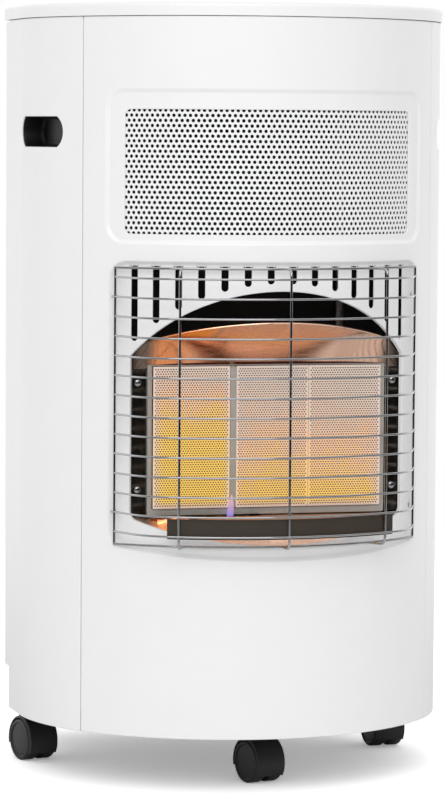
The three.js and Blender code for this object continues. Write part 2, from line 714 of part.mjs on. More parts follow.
/** A side panel: `side` is 1 on the right and -1 on the left. */
function sidePanel(side) {
  const notch = SIDE_REAR - SIDE_NOTCH.width;
  const start = SEAM + SEAM_GAP / 2;
  const [s0, s1] = side > 0 ? [start, CASING_END] : [-CASING_END, -start];
  const across = (x0, x1, ...rest) => (side > 0 ? box(x0, x1, ...rest) : box(-x1, -x0, ...rest));
  const reach = HALF_WIDTH - REAR_RETURN;
  const grip = gripShape(side * GRIP_MIDDLE, 0);
  return rolledBox(s0, s1, 0, SHEET, CASING_BOTTOM, PANEL_TOP)
    .add(rolledBox(s0, s1, SHEET / 2, HEM, CASING_BOTTOM, CASING_BOTTOM + SHEET))
    .add(rolledBox(s0, s1, SHEET / 2, HEM, PANEL_TOP - SHEET, PANEL_TOP))
    .add(across(reach, HALF_WIDTH, SIDE_REAR - SHEET, SIDE_REAR, CASING_BOTTOM, PANEL_TOP))
    .subtract(across(reach - 1, HALF_WIDTH + 1, notch, SIDE_REAR + 1, 0, SIDE_NOTCH.top))
    .subtract(across(reach - 1, HALF_WIDTH + 1, notch, SIDE_REAR + 1, PANEL_TOP - SIDE_NOTCH.lid, HEIGHT))
    .subtract(rolledLoft(() => grip, -1, HEM + 1, { divisions: 2 }));
}

/** The casing's outline as a ring of points, inset, at a height. */
function casingRing(inset, z) {
  const points = casingPath.stops.map((stop) => casingPath.at(stop, inset));
  points[0].y = SIDE_REAR - inset;
  points.at(-1).y = SIDE_REAR - inset;
  return points.map((point) => new THREE.Vector3(point.x, point.y, z));
}

/** A capped solid inside the casing's outline, its upper edge rounded. */
function lidShell(inset, bottom, top, radius) {
  const steps = 2;
  const rings = [casingRing(inset, bottom)];
  for (let i = 0; i <= steps; i += 1) {
    const angle = (90 * i) / steps;
    rings.push(casingRing(inset + radius * (1 - cos(angle)), top - radius * (1 - sin(angle))));
  }
  const plan = (ring) => ring.map((point) => new THREE.Vector2(point.x, point.y));
  return loft(rings, [plan(rings[0]), plan(rings.at(-1))]);
}

function wellShape(grow) {
  const { left, right, front, rear, corner } = WELL;
  return roundedRectangle(left - grow, right + grow, front - grow, rear + grow, corner + grow);
}

function topLid() {
  const wall = SHEET;
  const outer = lidShell(-LID_OVERHANG, LID_SEAM, HEIGHT, LID_EDGE_RADIUS);
  const inner = lidShell(wall - LID_OVERHANG, LID_SEAM - 1, HEIGHT - wall, LID_EDGE_RADIUS - wall);
  return outer
    .subtract(inner)
    .add(lying(wellShape(wall), WELL_FLOOR - wall, HEIGHT - wall / 2))
    .subtract(lying(wellShape(0), WELL_FLOOR, HEIGHT + 1))
    .subtract(cylinder(KNOB.x, 0, WELL_FLOOR - 2 * wall, SPINDLE_RADIUS + 4, 4 * wall))
    .subtract(cylinder(IGNITER.x, 0, WELL_FLOOR - 2 * wall, IGNITER.body + CLEARANCE, 4 * wall));
}

/** The base tray's outline: inside the casing, with ears over the rear castors and a tail in the cover. */
function baseShape(inset) {
  const ahead = casingPath.stops.slice(1, -1).map((stop) => casingPath.at(stop, INNER + inset));
  const side = HALF_WIDTH - INNER - inset;
  const step = SIDE_REAR - SIDE_NOTCH.width - CLEARANCE - inset;
  const [ear, earRear] = [HALF_WIDTH - BASE_EAR.inset - inset, BASE_EAR.rear - inset];
  const [tail, tailRear, radius] = [COVER_HALF_WIDTH - inset, COVER_REAR - inset, COVER_CORNER - inset];
  const shape = new THREE.Shape();
  shape.moveTo(-side, step);
  ahead.forEach((point) => shape.lineTo(point.x, point.y));
  shape.lineTo(side, step);
  shape.lineTo(ear, step);
  shape.lineTo(ear, earRear);
  shape.lineTo(tail, earRear);
  shape.absarc(tail - radius, tailRear - radius, radius, 0, Math.PI / 2, false);
  shape.absarc(radius - tail, tailRear - radius, radius, Math.PI / 2, Math.PI, false);
  shape.lineTo(-tail, earRear);
  shape.lineTo(-ear, earRear);
  shape.lineTo(-ear, step);
  return shape;
}

function baseTray() {
  let tray = lying(baseShape(0), BASE_BOTTOM, BASE_TOP + BASE_RIM, 4);
  tray = tray.subtract(lying(baseShape(SHEET), BASE_TOP, BASE_TOP + BASE_RIM + 1, 4));
  const hole = CASTOR.pin + CLEARANCE;
  for (const { x, y } of castorPlaces()) {
    tray = tray.subtract(cylinder(x, y, BASE_BOTTOM - SHEET, hole, 3 * SHEET));
  }
  return tray;
}

function rearCover() {
  const flangeEnd = coverPath.stops[0];
  const wallStart = coverPath.stops.find((stop) => coverPath.at(stop).y > COVER_FACE + COVER_BEND - 0.01);
  const bottom = BASE_TOP + BASE_RIM + CLEARANCE;
  let cover = rolledBox(flangeEnd, -flangeEnd, 0, SHEET, bottom, COVER_TOP, coverPath)
    .add(rolledBox(wallStart, -wallStart, SHEET / 2, HEM, COVER_TOP - SHEET, COVER_TOP, coverPath));
  for (let row = 0; row < LOUVRE.rows; row += 1) {
    for (let column = 0; column < LOUVRE.columns; column += 1) {
      const middle = (column - (LOUVRE.columns - 1) / 2) * LOUVRE.spread;
      const top = COVER_TOP - LOUVRE.belowTop - row * LOUVRE.pitch;
      const half = LOUVRE.length / 2;
      const bottomEdge = top - LOUVRE.height;
      const slot = roundedRectangle(middle - half, middle + half, bottomEdge, top, LOUVRE.height * 0.49);
      cover = cover.subtract(standing(slot, COVER_REAR - HEM, FAR, 1));
    }
  }
  return cover;
}

/** The strip between the rear cover and the lid, with its own row of slots. */
function rearRail() {
  const half = RAIL_HALF_WIDTH;
  const [bottom, top] = [RAIL_BOTTOM, RAIL_BOTTOM + RAIL_HEIGHT];
  const front = SIDE_REAR + CLEARANCE;
  let rail = box(-half, half, front, front + SHEET, bottom, top);
  rail = rail.add(box(-half, half, front, front + HEM, bottom, bottom + SHEET));
  const [slots, width, pitch] = [7, 26, 44];
  const middle = (bottom + top) / 2;
  for (let i = 0; i < slots; i += 1) {
    const x = (i - (slots - 1) / 2) * pitch;
    const slot = roundedRectangle(x - width / 2, x + width / 2, middle - 4, middle + 4, 3.9);
    rail = rail.subtract(standing(slot, 0, FAR, 1));
  }
  return rail;
}

/** The perforated sheet behind the vent window, its round holes drawn as hexagons. */
function ventMesh() {
  const y0 = VENT_FIELD.depth + SHEET + CLEARANCE;
  const half = onFront(VENT_HALF_ANGLE);
  const [z0, z1] = [VENT_BOTTOM - MESH_MARGIN, VENT_TOP + MESH_MARGIN];
  let mesh = rolledBox(-half - MESH_MARGIN, half + MESH_MARGIN, y0, y0 + MESH_THICKNESS, z0, z1);
  const rise = MESH_PITCH * sin(60);
  const rows = Math.floor((VENT_TOP - VENT_BOTTOM - MESH_HOLE) / rise) + 1;
  const columns = Math.floor((2 * half - MESH_HOLE) / MESH_PITCH) + 1;
  for (let row = 0; row < rows; row += 1) {
    const z = (VENT_BOTTOM + VENT_TOP) / 2 + (row - (rows - 1) / 2) * rise;
    const count = columns - (row % 2);
    for (let column = 0; column < count; column += 1) {
      const angle = THREE.MathUtils.radToDeg(((column - (count - 1) / 2) * MESH_PITCH) / FRONT_RADIUS);
      const corners = Array.from({ length: 6 }, (_, i) => {
        const turn = 30 + 60 * i;
        return new THREE.Vector2((MESH_HOLE / 2) * cos(turn), z + (MESH_HOLE / 2) * sin(turn));
      });
      const hole = new THREE.Shape(corners);
      mesh = mesh.subtract(facing(hole, angle, FRONT_RADIUS - y0 - 6, FRONT_RADIUS));
    }
  }
  return mesh;
}

/** A moulded cup behind a hand-hold. */
function handGrip(side) {
  const grown = (grow) => () => gripShape(side * GRIP_MIDDLE, grow);
  const divisions = 2;
  return rolledLoft(grown(GRIP_FLANGE), INNER, INNER + GRIP_WALL, { divisions })
    .add(rolledLoft(grown(GRIP_WALL), INNER + GRIP_WALL / 2, INNER + GRIP_DEPTH, { divisions }))
    .subtract(rolledLoft(grown(0), 0, INNER + GRIP_DEPTH - GRIP_WALL, { divisions }));
}

function heatShield() {
  const y = -SHIELD_FRONT;
  const half = casingHalfWidthAt(y, 2 * INNER + FACET_SAG);
  const flange = 8;
  const [bottom, top] = [BASE_TOP + CLEARANCE, WELL_FLOOR - SHEET - CLEARANCE];
  let shield = box(-half, half, y, y + SHEET, bottom, top);
  for (const side of [-1, 1]) {
    const [x0, x1] = side > 0 ? [half - SHEET, half] : [-half, SHEET - half];
    shield = shield.add(box(x0, x1, y, y + flange, bottom, top));
  }
  const hole = PIPE_RADIUS + 1.5;
  const along = new THREE.Vector3(0, 1, 0);
  return shield.subtract(cylinder(KNOB.x, y - 5, pipeHeight(), hole, 20, { along }));
}

// ------------------------------------------------------------------ burner

function plaque(x0, x1) {
  const z0 = PLAQUE_BOTTOM;
  return box(x0, x1, -PLAQUE_FACE, PLAQUE_THICKNESS - PLAQUE_FACE, z0, PLAQUE_TOP);
}

/** The stamped frame that clips the plaques to the burner housing. */
function plaqueFrame() {
  const skirt = 8;
  const [half, inner] = [FRAME_HALF_WIDTH, PLAQUE_HALF_WIDTH + CLEARANCE];
  const [front, back] = [-FRAME_FACE, FRAME_THICKNESS - FRAME_FACE];
  const [housing, wall] = [HOUSING_HALF_WIDTH + CLEARANCE, 1];
  return box(-half, half, front, back, FRAME_BOTTOM, FRAME_TOP)
    .add(box(-housing - wall, housing + wall, back - 1, back + skirt, FRAME_BOTTOM, FRAME_TOP))
    .subtract(box(-inner, inner, -FAR, FAR, PLAQUE_BOTTOM - CLEARANCE, PLAQUE_TOP + CLEARANCE))
    .subtract(box(-housing, housing, back, FAR, FRAME_BOTTOM + wall, FRAME_TOP - wall * 0.6));
}

function plaqueDivider() {
  const half = DIVIDER_WIDTH / 2;
  const front = -PLAQUE_FACE - 1.2;
  const back = HOUSING_FRONT - 0.5;
  return box(DIVIDER_X - half, DIVIDER_X + half, front, back, PLAQUE_BOTTOM, PLAQUE_TOP);
}

/** The two-chamber burner box with its venturi tubes, its ears for the side plates and its arms. */
function burnerHousing() {
  const half = HOUSING_HALF_WIDTH;
  const [y0, y1] = [HOUSING_FRONT, HOUSING_REAR];
  const [z0, z1] = [FRAME_BOTTOM + 1 + CLEARANCE, PLAQUE_TOP - CLEARANCE];
  const wall = HOUSING_WALL;
  const y = venturiY();
  let housing = box(-half, half, y0, y1, z0, z1);
  for (const x of venturiPlaces()) {
    housing = housing.add(cylinder(x, y, z0 - VENTURI.length, VENTURI.radius, VENTURI.length + 5));
    const lip = { sides: 12, endRadius: VENTURI.radius };
    housing = housing.add(cylinder(x, y, z0 - VENTURI.length, VENTURI.lip, 14, lip));
  }
  const partition = wall / 2;
  housing = housing
    .subtract(box(wall - half, DIVIDER_X - partition, y0 - 1, y1 - wall, z0 + wall, z1 - wall))
    .subtract(box(DIVIDER_X + partition, half - wall, y0 - 1, y1 - wall, z0 + wall, z1 - wall));
  for (const x of venturiPlaces()) {
    const inside = { sides: 12 };
    const reach = VENTURI.length + 12;
    housing = housing.subtract(cylinder(x, y, z0 - VENTURI.length - 1, VENTURI.radius - 1.5, reach, inside));
  }
  for (const side of [-1, 1]) {
    for (const z of [SCREW.upper, SCREW.lower]) housing = housing.add(housingEar(side, z));
    const arm = side * half * 0.6;
    const depth = -SHIELD_FRONT - CLEARANCE;
    housing = housing.add(box(arm - 9, arm + 9, y1 - wall / 2, depth, z1 - 30, z1 - 24));
  }
  return housing;
}

/** A tapped ear that a side plate screws to. */
function housingEar(side, z) {
  const [x0, x1] = [HOUSING_HALF_WIDTH - 0.5, SIDE_PLATE_OUTER - 1];
  const y0 = TRIM + CLEARANCE - SIDE_PLATE_FACE;
  const reach = side > 0 ? [x0, x1] : [-x1, -x0];
  const plate = box(...reach, y0 + 10, y0 + 12, z - 7, z + 7);
  const tapped = box(side * SCREW_X - 4, side * SCREW_X + 4, y0, y0 + 11, z - 4, z + 4);
  const hole = cylinder(side * SCREW_X, y0 - 1, z, SCREW.shank / 2 + CLEARANCE, 20, {
    sides: 8,
    along: new THREE.Vector3(0, 1, 0),
  });
  return plate.add(tapped).subtract(hole);
}

function venturiPlaces() {
  return [(DIVIDER_X - PLAQUE_HALF_WIDTH) / 2, (DIVIDER_X + PLAQUE_HALF_WIDTH) / 2];
}

function venturiY() {
  return HOUSING_REAR - VENTURI.radius;
}

/** Height of the hood's front edge at a place along the front. */
function hoodEdgeAt(s) {
  return HOOD_APEX - HOOD_ARCH_RADIUS + Math.sqrt(HOOD_ARCH_RADIUS ** 2 - s ** 2);
}

/** Places across the hood and the base reflector, from one side plate to the other. */
function reflectorStations() {
  const steps = 14;
  const inner = Array.from({ length: steps + 1 }, (_, i) => FRAME_HALF_WIDTH * (-1 + (2 * i) / steps));
  return [-SIDE_PLATE_OUTER, ...inner, SIDE_PLATE_OUTER];
}

/** A point on the reflectors' front edge, just inside the panel. */
function reflectorFront(x, heightAt) {
  const y = Math.max(Math.sqrt(HOOD_RADIUS ** 2 - x ** 2), SIDE_PLATE_FACE + 0.6);
  const s = Math.asin(x / HOOD_RADIUS) * FRONT_RADIUS;
  return new THREE.Vector3(x, -y, heightAt(s));
}

/** The polished hood over the plaques, with a wing down each side. */
function reflectorHood() {
  const outer = (x) => Math.abs(x) > FRAME_HALF_WIDTH + 1;
  const rear = reflectorStations().map((x) => {
    const y = outer(x) ? SIDE_PLATE_FACE + CLEARANCE : FRAME_FACE;
    return new THREE.Vector3(x, -y, HOOD_REAR_Z - (outer(x) ? HOOD_WING_DROP : 0));
  });
  const front = reflectorStations().map((x) => reflectorFront(x, hoodEdgeAt));
  return ruledSheet(rear, front, new THREE.Vector3(0, 0, TRIM));
}

/** A polished plate beside the plaques, its top following the hood's wing. */
function sideReflector(side) {
  const [x0, x1] = [FRAME_HALF_WIDTH + CLEARANCE, SIDE_PLATE_OUTER];
  const shape = new THREE.Shape();
  shape.moveTo(side * x0, FRAME_BOTTOM + 1);
  shape.lineTo(side * x1, FRAME_BOTTOM + 1);
  shape.lineTo(side * x1, HOOD_REAR_Z - HOOD_WING_DROP - CLEARANCE);
  shape.lineTo(side * x0, HOOD_REAR_Z - CLEARANCE - 0.3);
  let plate = standing(shape, -SIDE_PLATE_FACE, TRIM - SIDE_PLATE_FACE);
  for (const z of [SCREW.upper, SCREW.lower]) {
    const hole = { sides: 10, along: new THREE.Vector3(0, 1, 0) };
    const radius = SCREW.shank / 2 + CLEARANCE;
    plate = plate.subtract(cylinder(side * SCREW_X, -SIDE_PLATE_FACE - 5, z, radius, 10, hole));
  }
  return plate;
}

function reflectorScrew(side, z) {
  const along = new THREE.Vector3(0, 1, 0);
  const face = -SIDE_PLATE_FACE - CLEARANCE / 2;
  const head = { sides: 8, along, endRadius: SCREW.head / 2 };
  return cylinder(side * SCREW_X, face - SCREW.headHeight, z, SCREW.head / 2 - 0.8, SCREW.headHeight, head)
    .add(cylinder(side * SCREW_X, face - 0.5, z, SCREW.shank / 2, 9, { sides: 6, along }));
}

/** The polished sheet from under the plaques down to the opening's lower edge. */
function baseReflector() {
  const rearZ = FRAME_BOTTOM - CLEARANCE - TRIM;
  const rear = reflectorStations().map((x) => new THREE.Vector3(x, TRIM - SIDE_PLATE_FACE, rearZ));
  const front = reflectorStations().map((x) => {
    const edge = reflectorFront(x, (s) => openingBottomAt(s) - 3);
    edge.z = Math.min(edge.z, rearZ - 1.5);
    return edge;
  });
  const { left, right, depth } = PILOT_WINDOW;
  const window = box(left, right, -FRAME_FACE - depth, -FRAME_FACE, 0, rearZ + 5);
  return ruledSheet(rear, front, new THREE.Vector3(0, 0, TRIM)).subtract(window);
}

const PILOT = { y: -PLAQUE_FACE - 4, shelf: 243, thickness: 1.5, spread: 16, top: 253 };

/** The pilot jet on its shelf, hung from the burner housing. */
function pilotBurner() {
  const { y, shelf, thickness, spread, top } = PILOT;
  const [x0, x1] = [PILOT_X - spread - 8, PILOT_X + spread + 8];
  const hangerTop = FRAME_BOTTOM - CLEARANCE;
  const hanger = FRAME_THICKNESS + 8 - FRAME_FACE;
  let pilot = box(x0, x1, y - 6, hanger, shelf, shelf + thickness);
  pilot = pilot.add(box(x0, x1, hanger - thickness, hanger, shelf, hangerTop));
  pilot = pilot.add(cylinder(PILOT_X, y, shelf - 12, 3.5, top - shelf + 12));
  pilot = pilot.add(cylinder(PILOT_X, y, top - 4, 5, 3));
  for (const x of [PILOT_X - spread, PILOT_X + spread]) {
    pilot = pilot.subtract(cylinder(x, y, shelf - 5, 2.5 + CLEARANCE, 12));
  }
  return pilot;
}

function thermocouple() {
  const { y, shelf, spread, top } = PILOT;
  const x = PILOT_X + spread;
  return cylinder(x, y, shelf - 14, 2, top - shelf + 18, { sides: 10 })
    .add(cylinder(x, y, shelf - 14, 2.5, 22, { sides: 10 }));
}

function sparkElectrode() {
  const { y, shelf, spread, top } = PILOT;
  const x = PILOT_X - spread;
  const tip = rounded(
    [
      new THREE.Vector3(x, y, top - 5),
      new THREE.Vector3(x, y, top + 2),
      new THREE.Vector3(x + spread - 6, y, top + 2),
    ],
    2,
    2,
  );
  return cylinder(x, y, shelf - 14, 2.5, top - shelf + 12, { sides: 10 }).add(rod(tip, 0.8));
}

// ------------------------------------------------------------------ guard

/** The end point of a horizontal wire on the right: straight on from its bend, to just off the panel. */
function guardEnd() {
  const out = new THREE.Vector2(sin(GUARD_END_ANGLE), -cos(GUARD_END_ANGLE));
  const start = guardBendCentre().addScaledVector(out, GUARD_BEND_RADIUS);
  const along = new THREE.Vector2(cos(GUARD_END_ANGLE), sin(GUARD_END_ANGLE));
  const nearing = -start.dot(along);
  const run = nearing - Math.sqrt(nearing ** 2 - start.lengthSq() + (FRONT_RADIUS + GUARD_END_GAP) ** 2);
  return start.addScaledVector(along, run);
}

function guardBendCentre() {
  const reach = GUARD_RADIUS - GUARD_BEND_RADIUS;
  return new THREE.Vector2(reach * sin(GUARD_BEND_ANGLE), -reach * cos(GUARD_BEND_ANGLE));
}

/** One horizontal wire's points, from left to right, its ends `extra` longer. */
function guardRow(z, extra) {
  const [frontSteps, bendSteps] = [3, 2];
  const half = [];
  for (let i = 0; i <= frontSteps; i += 1) {
    const angle = (GUARD_BEND_ANGLE * i) / frontSteps;
    half.push(new THREE.Vector3(GUARD_RADIUS * sin(angle), -GUARD_RADIUS * cos(angle), z));
  }
  const centre = guardBendCentre();
  for (let i = 1; i <= bendSteps; i += 1) {
    const angle = GUARD_BEND_ANGLE + ((GUARD_END_ANGLE - GUARD_BEND_ANGLE) * i) / bendSteps;
    const x = centre.x + GUARD_BEND_RADIUS * sin(angle);
    half.push(new THREE.Vector3(x, centre.y - GUARD_BEND_RADIUS * cos(angle), z));
  }
  const end = guardEnd();
  const reach = new THREE.Vector2(cos(GUARD_END_ANGLE), sin(GUARD_END_ANGLE)).multiplyScalar(extra);
  half.push(new THREE.Vector3(end.x + reach.x, end.y + reach.y, z));
  const mirrored = half.slice(1).reverse().map((point) => new THREE.Vector3(-point.x, point.y, point.z));
  return [...mirrored, ...half];
}

/** An upright at an angle from straight ahead, its ends turned back to the frame wires. */
function guardUpright(angle) {
  const [top, bottom] = [GUARD_TOP + 8.6, GUARD_BOTTOM - 11.5];
  const at = (radius, z) => new THREE.Vector3(radius * sin(angle), -radius * cos(angle), z);
  const frame = guardFrameRadius();
  const corners = [at(frame, top), at(UPRIGHT_RADIUS, top), at(UPRIGHT_RADIUS, bottom), at(frame, bottom)];
  return rod(rounded(corners, 8, 2), UPRIGHT_WIRE / 2);
}

function guardFrameRadius() {
  return guardEnd().length() + 0.5;
}

/** The top or bottom frame wire, close to the panel. */
function guardFrame(z) {
  const radius = guardFrameRadius();
  const half = THREE.MathUtils.radToDeg(Math.asin(guardEnd().x / radius));
  const steps = 10;
  const points = Array.from({ length: steps + 1 }, (_, i) => {
    const angle = half * (-1 + (2 * i) / steps);
    return new THREE.Vector3(radius * sin(angle), -radius * cos(angle), z);
  });
  return rod(points, UPRIGHT_WIRE / 2);
}

function wireGuard() {
  const [top, bottom] = [GUARD_TOP + 8.6, GUARD_BOTTOM - 11.5];
  let guard = joined(guardFrame(top), guardFrame(bottom));
  const end = guardEnd();
  for (const side of [-1, 1]) {
    const upright = [bottom - 1, top + 1].map((z) => new THREE.Vector3(side * end.x, end.y, z));
    guard = guard.add(rod(upright, UPRIGHT_WIRE / 2));
  }
  for (const angle of [-GUARD_UPRIGHT_ANGLE, 0, GUARD_UPRIGHT_ANGLE]) guard = guard.add(guardUpright(angle));
  for (let row = 0; row < GUARD_ROWS; row += 1) {
    const prong = row === 1 || row === GUARD_ROWS - 2;
    guard = guard.add(rod(guardRow(GUARD_TOP - row * GUARD_PITCH, prong ? PRONG : 1), WIRE / 2));
  }
  return guard;
}

/** The dark strip inside the guard's lower wires that keeps the heat off the lower panel. */
function guardDeflector() {
  const { halfAngle, bottom, top, thickness } = DEFLECTOR;
  const outer = UPRIGHT_RADIUS - UPRIGHT_WIRE / 2 - CLEARANCE;
  const steps = 12;
  const edge = (radius, z) => Array.from({ length: steps + 1 }, (_, i) => {
    const angle = halfAngle * (-1 + (2 * i) / steps);
    return new THREE.Vector3(radius * sin(angle), -radius * cos(angle), z);
  });
  const ring = (z) => [...edge(outer, z), ...edge(outer - thickness, z).reverse()];
  const plan = ring(0).map((point) => new THREE.Vector2(point.x, point.y));
  return loft([ring(bottom), ring(top)], [plan, plan]);
}

// ------------------------------------------------------------------ controls and gas way

function controlBezel() {
  const [z0, z1] = [WELL_FLOOR + CLEARANCE, BEZEL_TOP];
  return lying(wellShape(-CLEARANCE), z0, z1)
    .subtract(cylinder(KNOB.x, 0, z0 - 1, SPINDLE_RADIUS + 4, BEZEL_THICKNESS + 2))
    .subtract(cylinder(IGNITER.x, 0, z0 - 1, IGNITER.radius + 2.5, BEZEL_THICKNESS + 2));
}

/** The ribbed knob, with its pointer and the bore that takes the spindle. */
function controlKnob() {
  const bottom = BEZEL_TOP + KNOB.travel + 0.5;
  const top = bottom + KNOB.height;
  const body = new THREE.LatheGeometry(
    [
      new THREE.Vector2(0, bottom),
      new THREE.Vector2(KNOB.radius, bottom),
      new THREE.Vector2(KNOB.radius - 1, top - 2),
      new THREE.Vector2(KNOB.radius - 3, top),
      new THREE.Vector2(0, top),
    ],
    2 * KNOB.ribs,
  );
  const position = body.attributes.position;
  for (let i = 0; i < position.count; i += 1) {
    const spoke = Math.round((Math.atan2(position.getZ(i), position.getX(i)) / Math.PI) * KNOB.ribs);
    const scale = spoke % 2 === 0 ? 1 : 0.96;
    position.setX(i, position.getX(i) * scale);
    position.setZ(i, position.getZ(i) * scale);
  }
  body.rotateX(Math.PI / 2);
  body.translate(KNOB.x, 0, 0);
  const bore = SPINDLE_RADIUS + CLEARANCE;
  return solid(body)
    .add(box(KNOB.x - 1.5, KNOB.x + 1.5, -KNOB.radius + 4, 0, top - 1, top + 1.2))
    .subtract(cylinder(KNOB.x, 0, bottom - 1, bore, KNOB.height - KNOB.crown + 1));
}

function valveTop() {
  return WELL_FLOOR - SHEET - CLEARANCE;
}

function pipeHeight() {
  return valveTop() - VALVE.height / 2;
}

const PLUG = { radius: 7, height: 12, below: 10 };

/** The tap body under the control well, bored for the plug and the spindle. */
function gasValveBody() {
  const [x, top] = [KNOB.x, valveTop()];
  const { width, depth, height } = VALVE;
  const bore = PLUG.radius + CLEARANCE;
  const plan = roundedRectangle(x - width / 2, x + width / 2, -depth / 2, depth / 2, 8);
  const body = lying(plan, top - height, top, 3);
  return body
    .subtract(cylinder(x, 0, top - PLUG.height - PLUG.below, bore, FAR))
    .add(cylinder(x, -depth / 2 + 2, pipeHeight(), 8, 8, { sides: 6, along: new THREE.Vector3(0, -1, 0) }))
    .subtract(cylinder(x, -depth / 2 - 5 + CLEARANCE, pipeHeight(), PIPE_RADIUS + CLEARANCE, 5, {
      sides: 12,
      along: new THREE.Vector3(0, -1, 0),
    }));
}

/** The tap's plug, which the spindle turns in the body's bore. */
function valvePlug() {
  const z0 = valveTop() - PLUG.height;
  return cylinder(KNOB.x, 0, z0, PLUG.radius, PLUG.height - 1)
    .subtract(cylinder(KNOB.x, 0, z0 - 1, SPINDLE_RADIUS + CLEARANCE, PLUG.height + 2));
}

/** The spindle, with a collar above the plug; the knob slides on its upper end. */
function valveSpindle() {
  const bottom = valveTop() - PLUG.height - 2;
  const top = BEZEL_TOP + 0.5 + KNOB.height - KNOB.crown - CLEARANCE;
  return cylinder(KNOB.x, 0, bottom, SPINDLE_RADIUS, top - bottom)
    .add(cylinder(KNOB.x, 0, valveTop() - 1 + CLEARANCE, SPINDLE_RADIUS + 2, 3));
}

function hoseInlet() {
  const y = VALVE.depth / 2 + CLEARANCE;
  const along = new THREE.Vector3(0, 1, 0);
  let inlet = cylinder(KNOB.x, y, pipeHeight(), 8, 7, { sides: 6, along });
  for (let barb = 0; barb < 3; barb += 1) {
    const start = y + 6.5 + barb * 6;
    inlet = inlet.add(cylinder(KNOB.x, start, pipeHeight(), 5, 6.5, { sides: 12, along, endRadius: 4 }));
  }
  return inlet.subtract(cylinder(KNOB.x, y + 5, pipeHeight(), 2.5, 30, { sides: 8, along }));
}

function manifoldTop() {
  return FRAME_BOTTOM - VENTURI.length - 20;
}

/** The pipe from the tap through the heat shield and down to the manifold. */
function gasPipe() {
  const x = KNOB.x;
  const y = -SHIELD_FRONT - PIPE_RADIUS - 2;
  const top = pipeHeight();
  const low = manifoldTop() + CLEARANCE;
  const corners = [
    new THREE.Vector3(x, -VALVE.depth / 2 - 5.5, top),
    new THREE.Vector3(x, y, top),
    new THREE.Vector3(x, y, low + 26),
    new THREE.Vector3(x, venturiY(), low + 14),
    new THREE.Vector3(x, venturiY(), low),
  ];
  return rod(rounded(corners, 10, 4), PIPE_RADIUS, 10);
}

/** The bar with a nozzle under each venturi tube, on a tab from the heat shield. */
function gasManifold() {
  const [half, top, y] = [8, manifoldTop(), venturiY()];
  const [first, last] = venturiPlaces();
  const [x0, x1] = [Math.min(first, KNOB.x) - 14, Math.max(last, KNOB.x) + 14];
  let bar = box(x0, x1, y - half, y + half, top - 2 * half, top);
  for (const x of venturiPlaces()) {
    bar = bar.add(cylinder(x, y, top - 1, 6, 8, { sides: 6 }));
    bar = bar.add(cylinder(x, y, top + 6, 4, 6, { sides: 10, endRadius: 2 }));
  }
  const back = -SHIELD_FRONT - CLEARANCE;
  for (const x of [x0 + 10, x1 - 40]) {
    bar = bar.add(box(x - 8, x + 8, y + half - 1, back, top - 2 * half, top - 2 * half + 3));
  }
  return bar;
}

function igniterButton() {
  const bottom = WELL_FLOOR - 6;
  const head = BEZEL_TOP + IGNITER.travel + 0.5;
  return cylinder(IGNITER.x, 0, bottom, IGNITER.radius - 2, head + 1 - bottom)
    .add(cylinder(IGNITER.x, 0, head, IGNITER.radius, IGNITER.head));
}

/** The piezo body, held in the well's floor by its collar. */
function igniterBody() {
  const top = WELL_FLOOR + CLEARANCE + BEZEL_THICKNESS;
  const bore = IGNITER.radius - 2 + CLEARANCE;
  const length = 34;
  return cylinder(IGNITER.x, 0, top - length, IGNITER.body, length - BEZEL_THICKNESS - 2 * CLEARANCE)
    .add(cylinder(IGNITER.x, 0, top - 6, IGNITER.radius + 2, 6))
    .subtract(cylinder(IGNITER.x, 0, top - 22, bore, 40));
}

// ------------------------------------------------------------------ castors

/** Each castor's pin: its place and the angle that its axle has swivelled to. */
function castorPlaces() {
  const side = HALF_WIDTH - BASE_EAR.inset - CASTOR.plateRadius;
  return [
    { name: 'front', x: 0, y: CASTOR_FRONT_SETBACK - FRONT_RADIUS, swivel: 16 },
    { name: 'left', x: -side, y: CASTOR_SIDE_Y, swivel: 16 },
    { name: 'right', x: side, y: CASTOR_SIDE_Y, swivel: 6 },
  ];
}

/** The fixed plate and pin, in the castor's own place: pin on Z. */
function castorStem() {
  const top = BASE_BOTTOM - CLEARANCE;
  const { plateRadius, plateThickness, pin, pinBottom } = CASTOR;
  return cylinder(0, 0, top - plateThickness, plateRadius, plateThickness)
    .add(cylinder(0, 0, pinBottom, pin, BASE_TOP - pinBottom));
}

/** The swivelling hood: a fender over both wheels, a web between them and the pin's socket. */
function castorHood() {
  const { wheelRadius, wheelWidth, width, trail, shell, pin, pinBottom, axle, plateThickness } = CASTOR;
  const radius = wheelRadius + CASTOR.wheelGap;
  const top = BASE_BOTTOM - plateThickness - 2 * CLEARANCE;
  const profile = new THREE.Shape();
  profile.absarc(-trail, wheelRadius, radius + shell, ...CASTOR.hoodArc.map(radians), false);
  const across = (shape, half, segments) => {
    const options = { depth: 2 * half, bevelEnabled: false, curveSegments: segments };
    const geometry = new THREE.ExtrudeGeometry(shape, options);
    geometry.translate(0, 0, -half);
    geometry.rotateX(Math.PI / 2);
    geometry.rotateZ(Math.PI / 2);
    return solid(geometry);
  };
  const half = width / 2;
  let hood = across(profile, half - 1, 6);
  hood = hood.add(cylinder(0, 0, 20, pin + 3.5, top - 20));
  const along = new THREE.Vector3(1, 0, 0);
  const web = half - wheelWidth - CLEARANCE;
  for (const x of [web, -FAR - web]) {
    hood = hood.subtract(cylinder(x, -trail, wheelRadius, radius, FAR, { sides: 16, along }));
  }
  return hood
    .subtract(cylinder(0, 0, pinBottom - CLEARANCE, pin + CLEARANCE, FAR))
    .subtract(cylinder(-FAR, -trail, wheelRadius, axle + CLEARANCE, 2 * FAR, { sides: 10, along }));
}

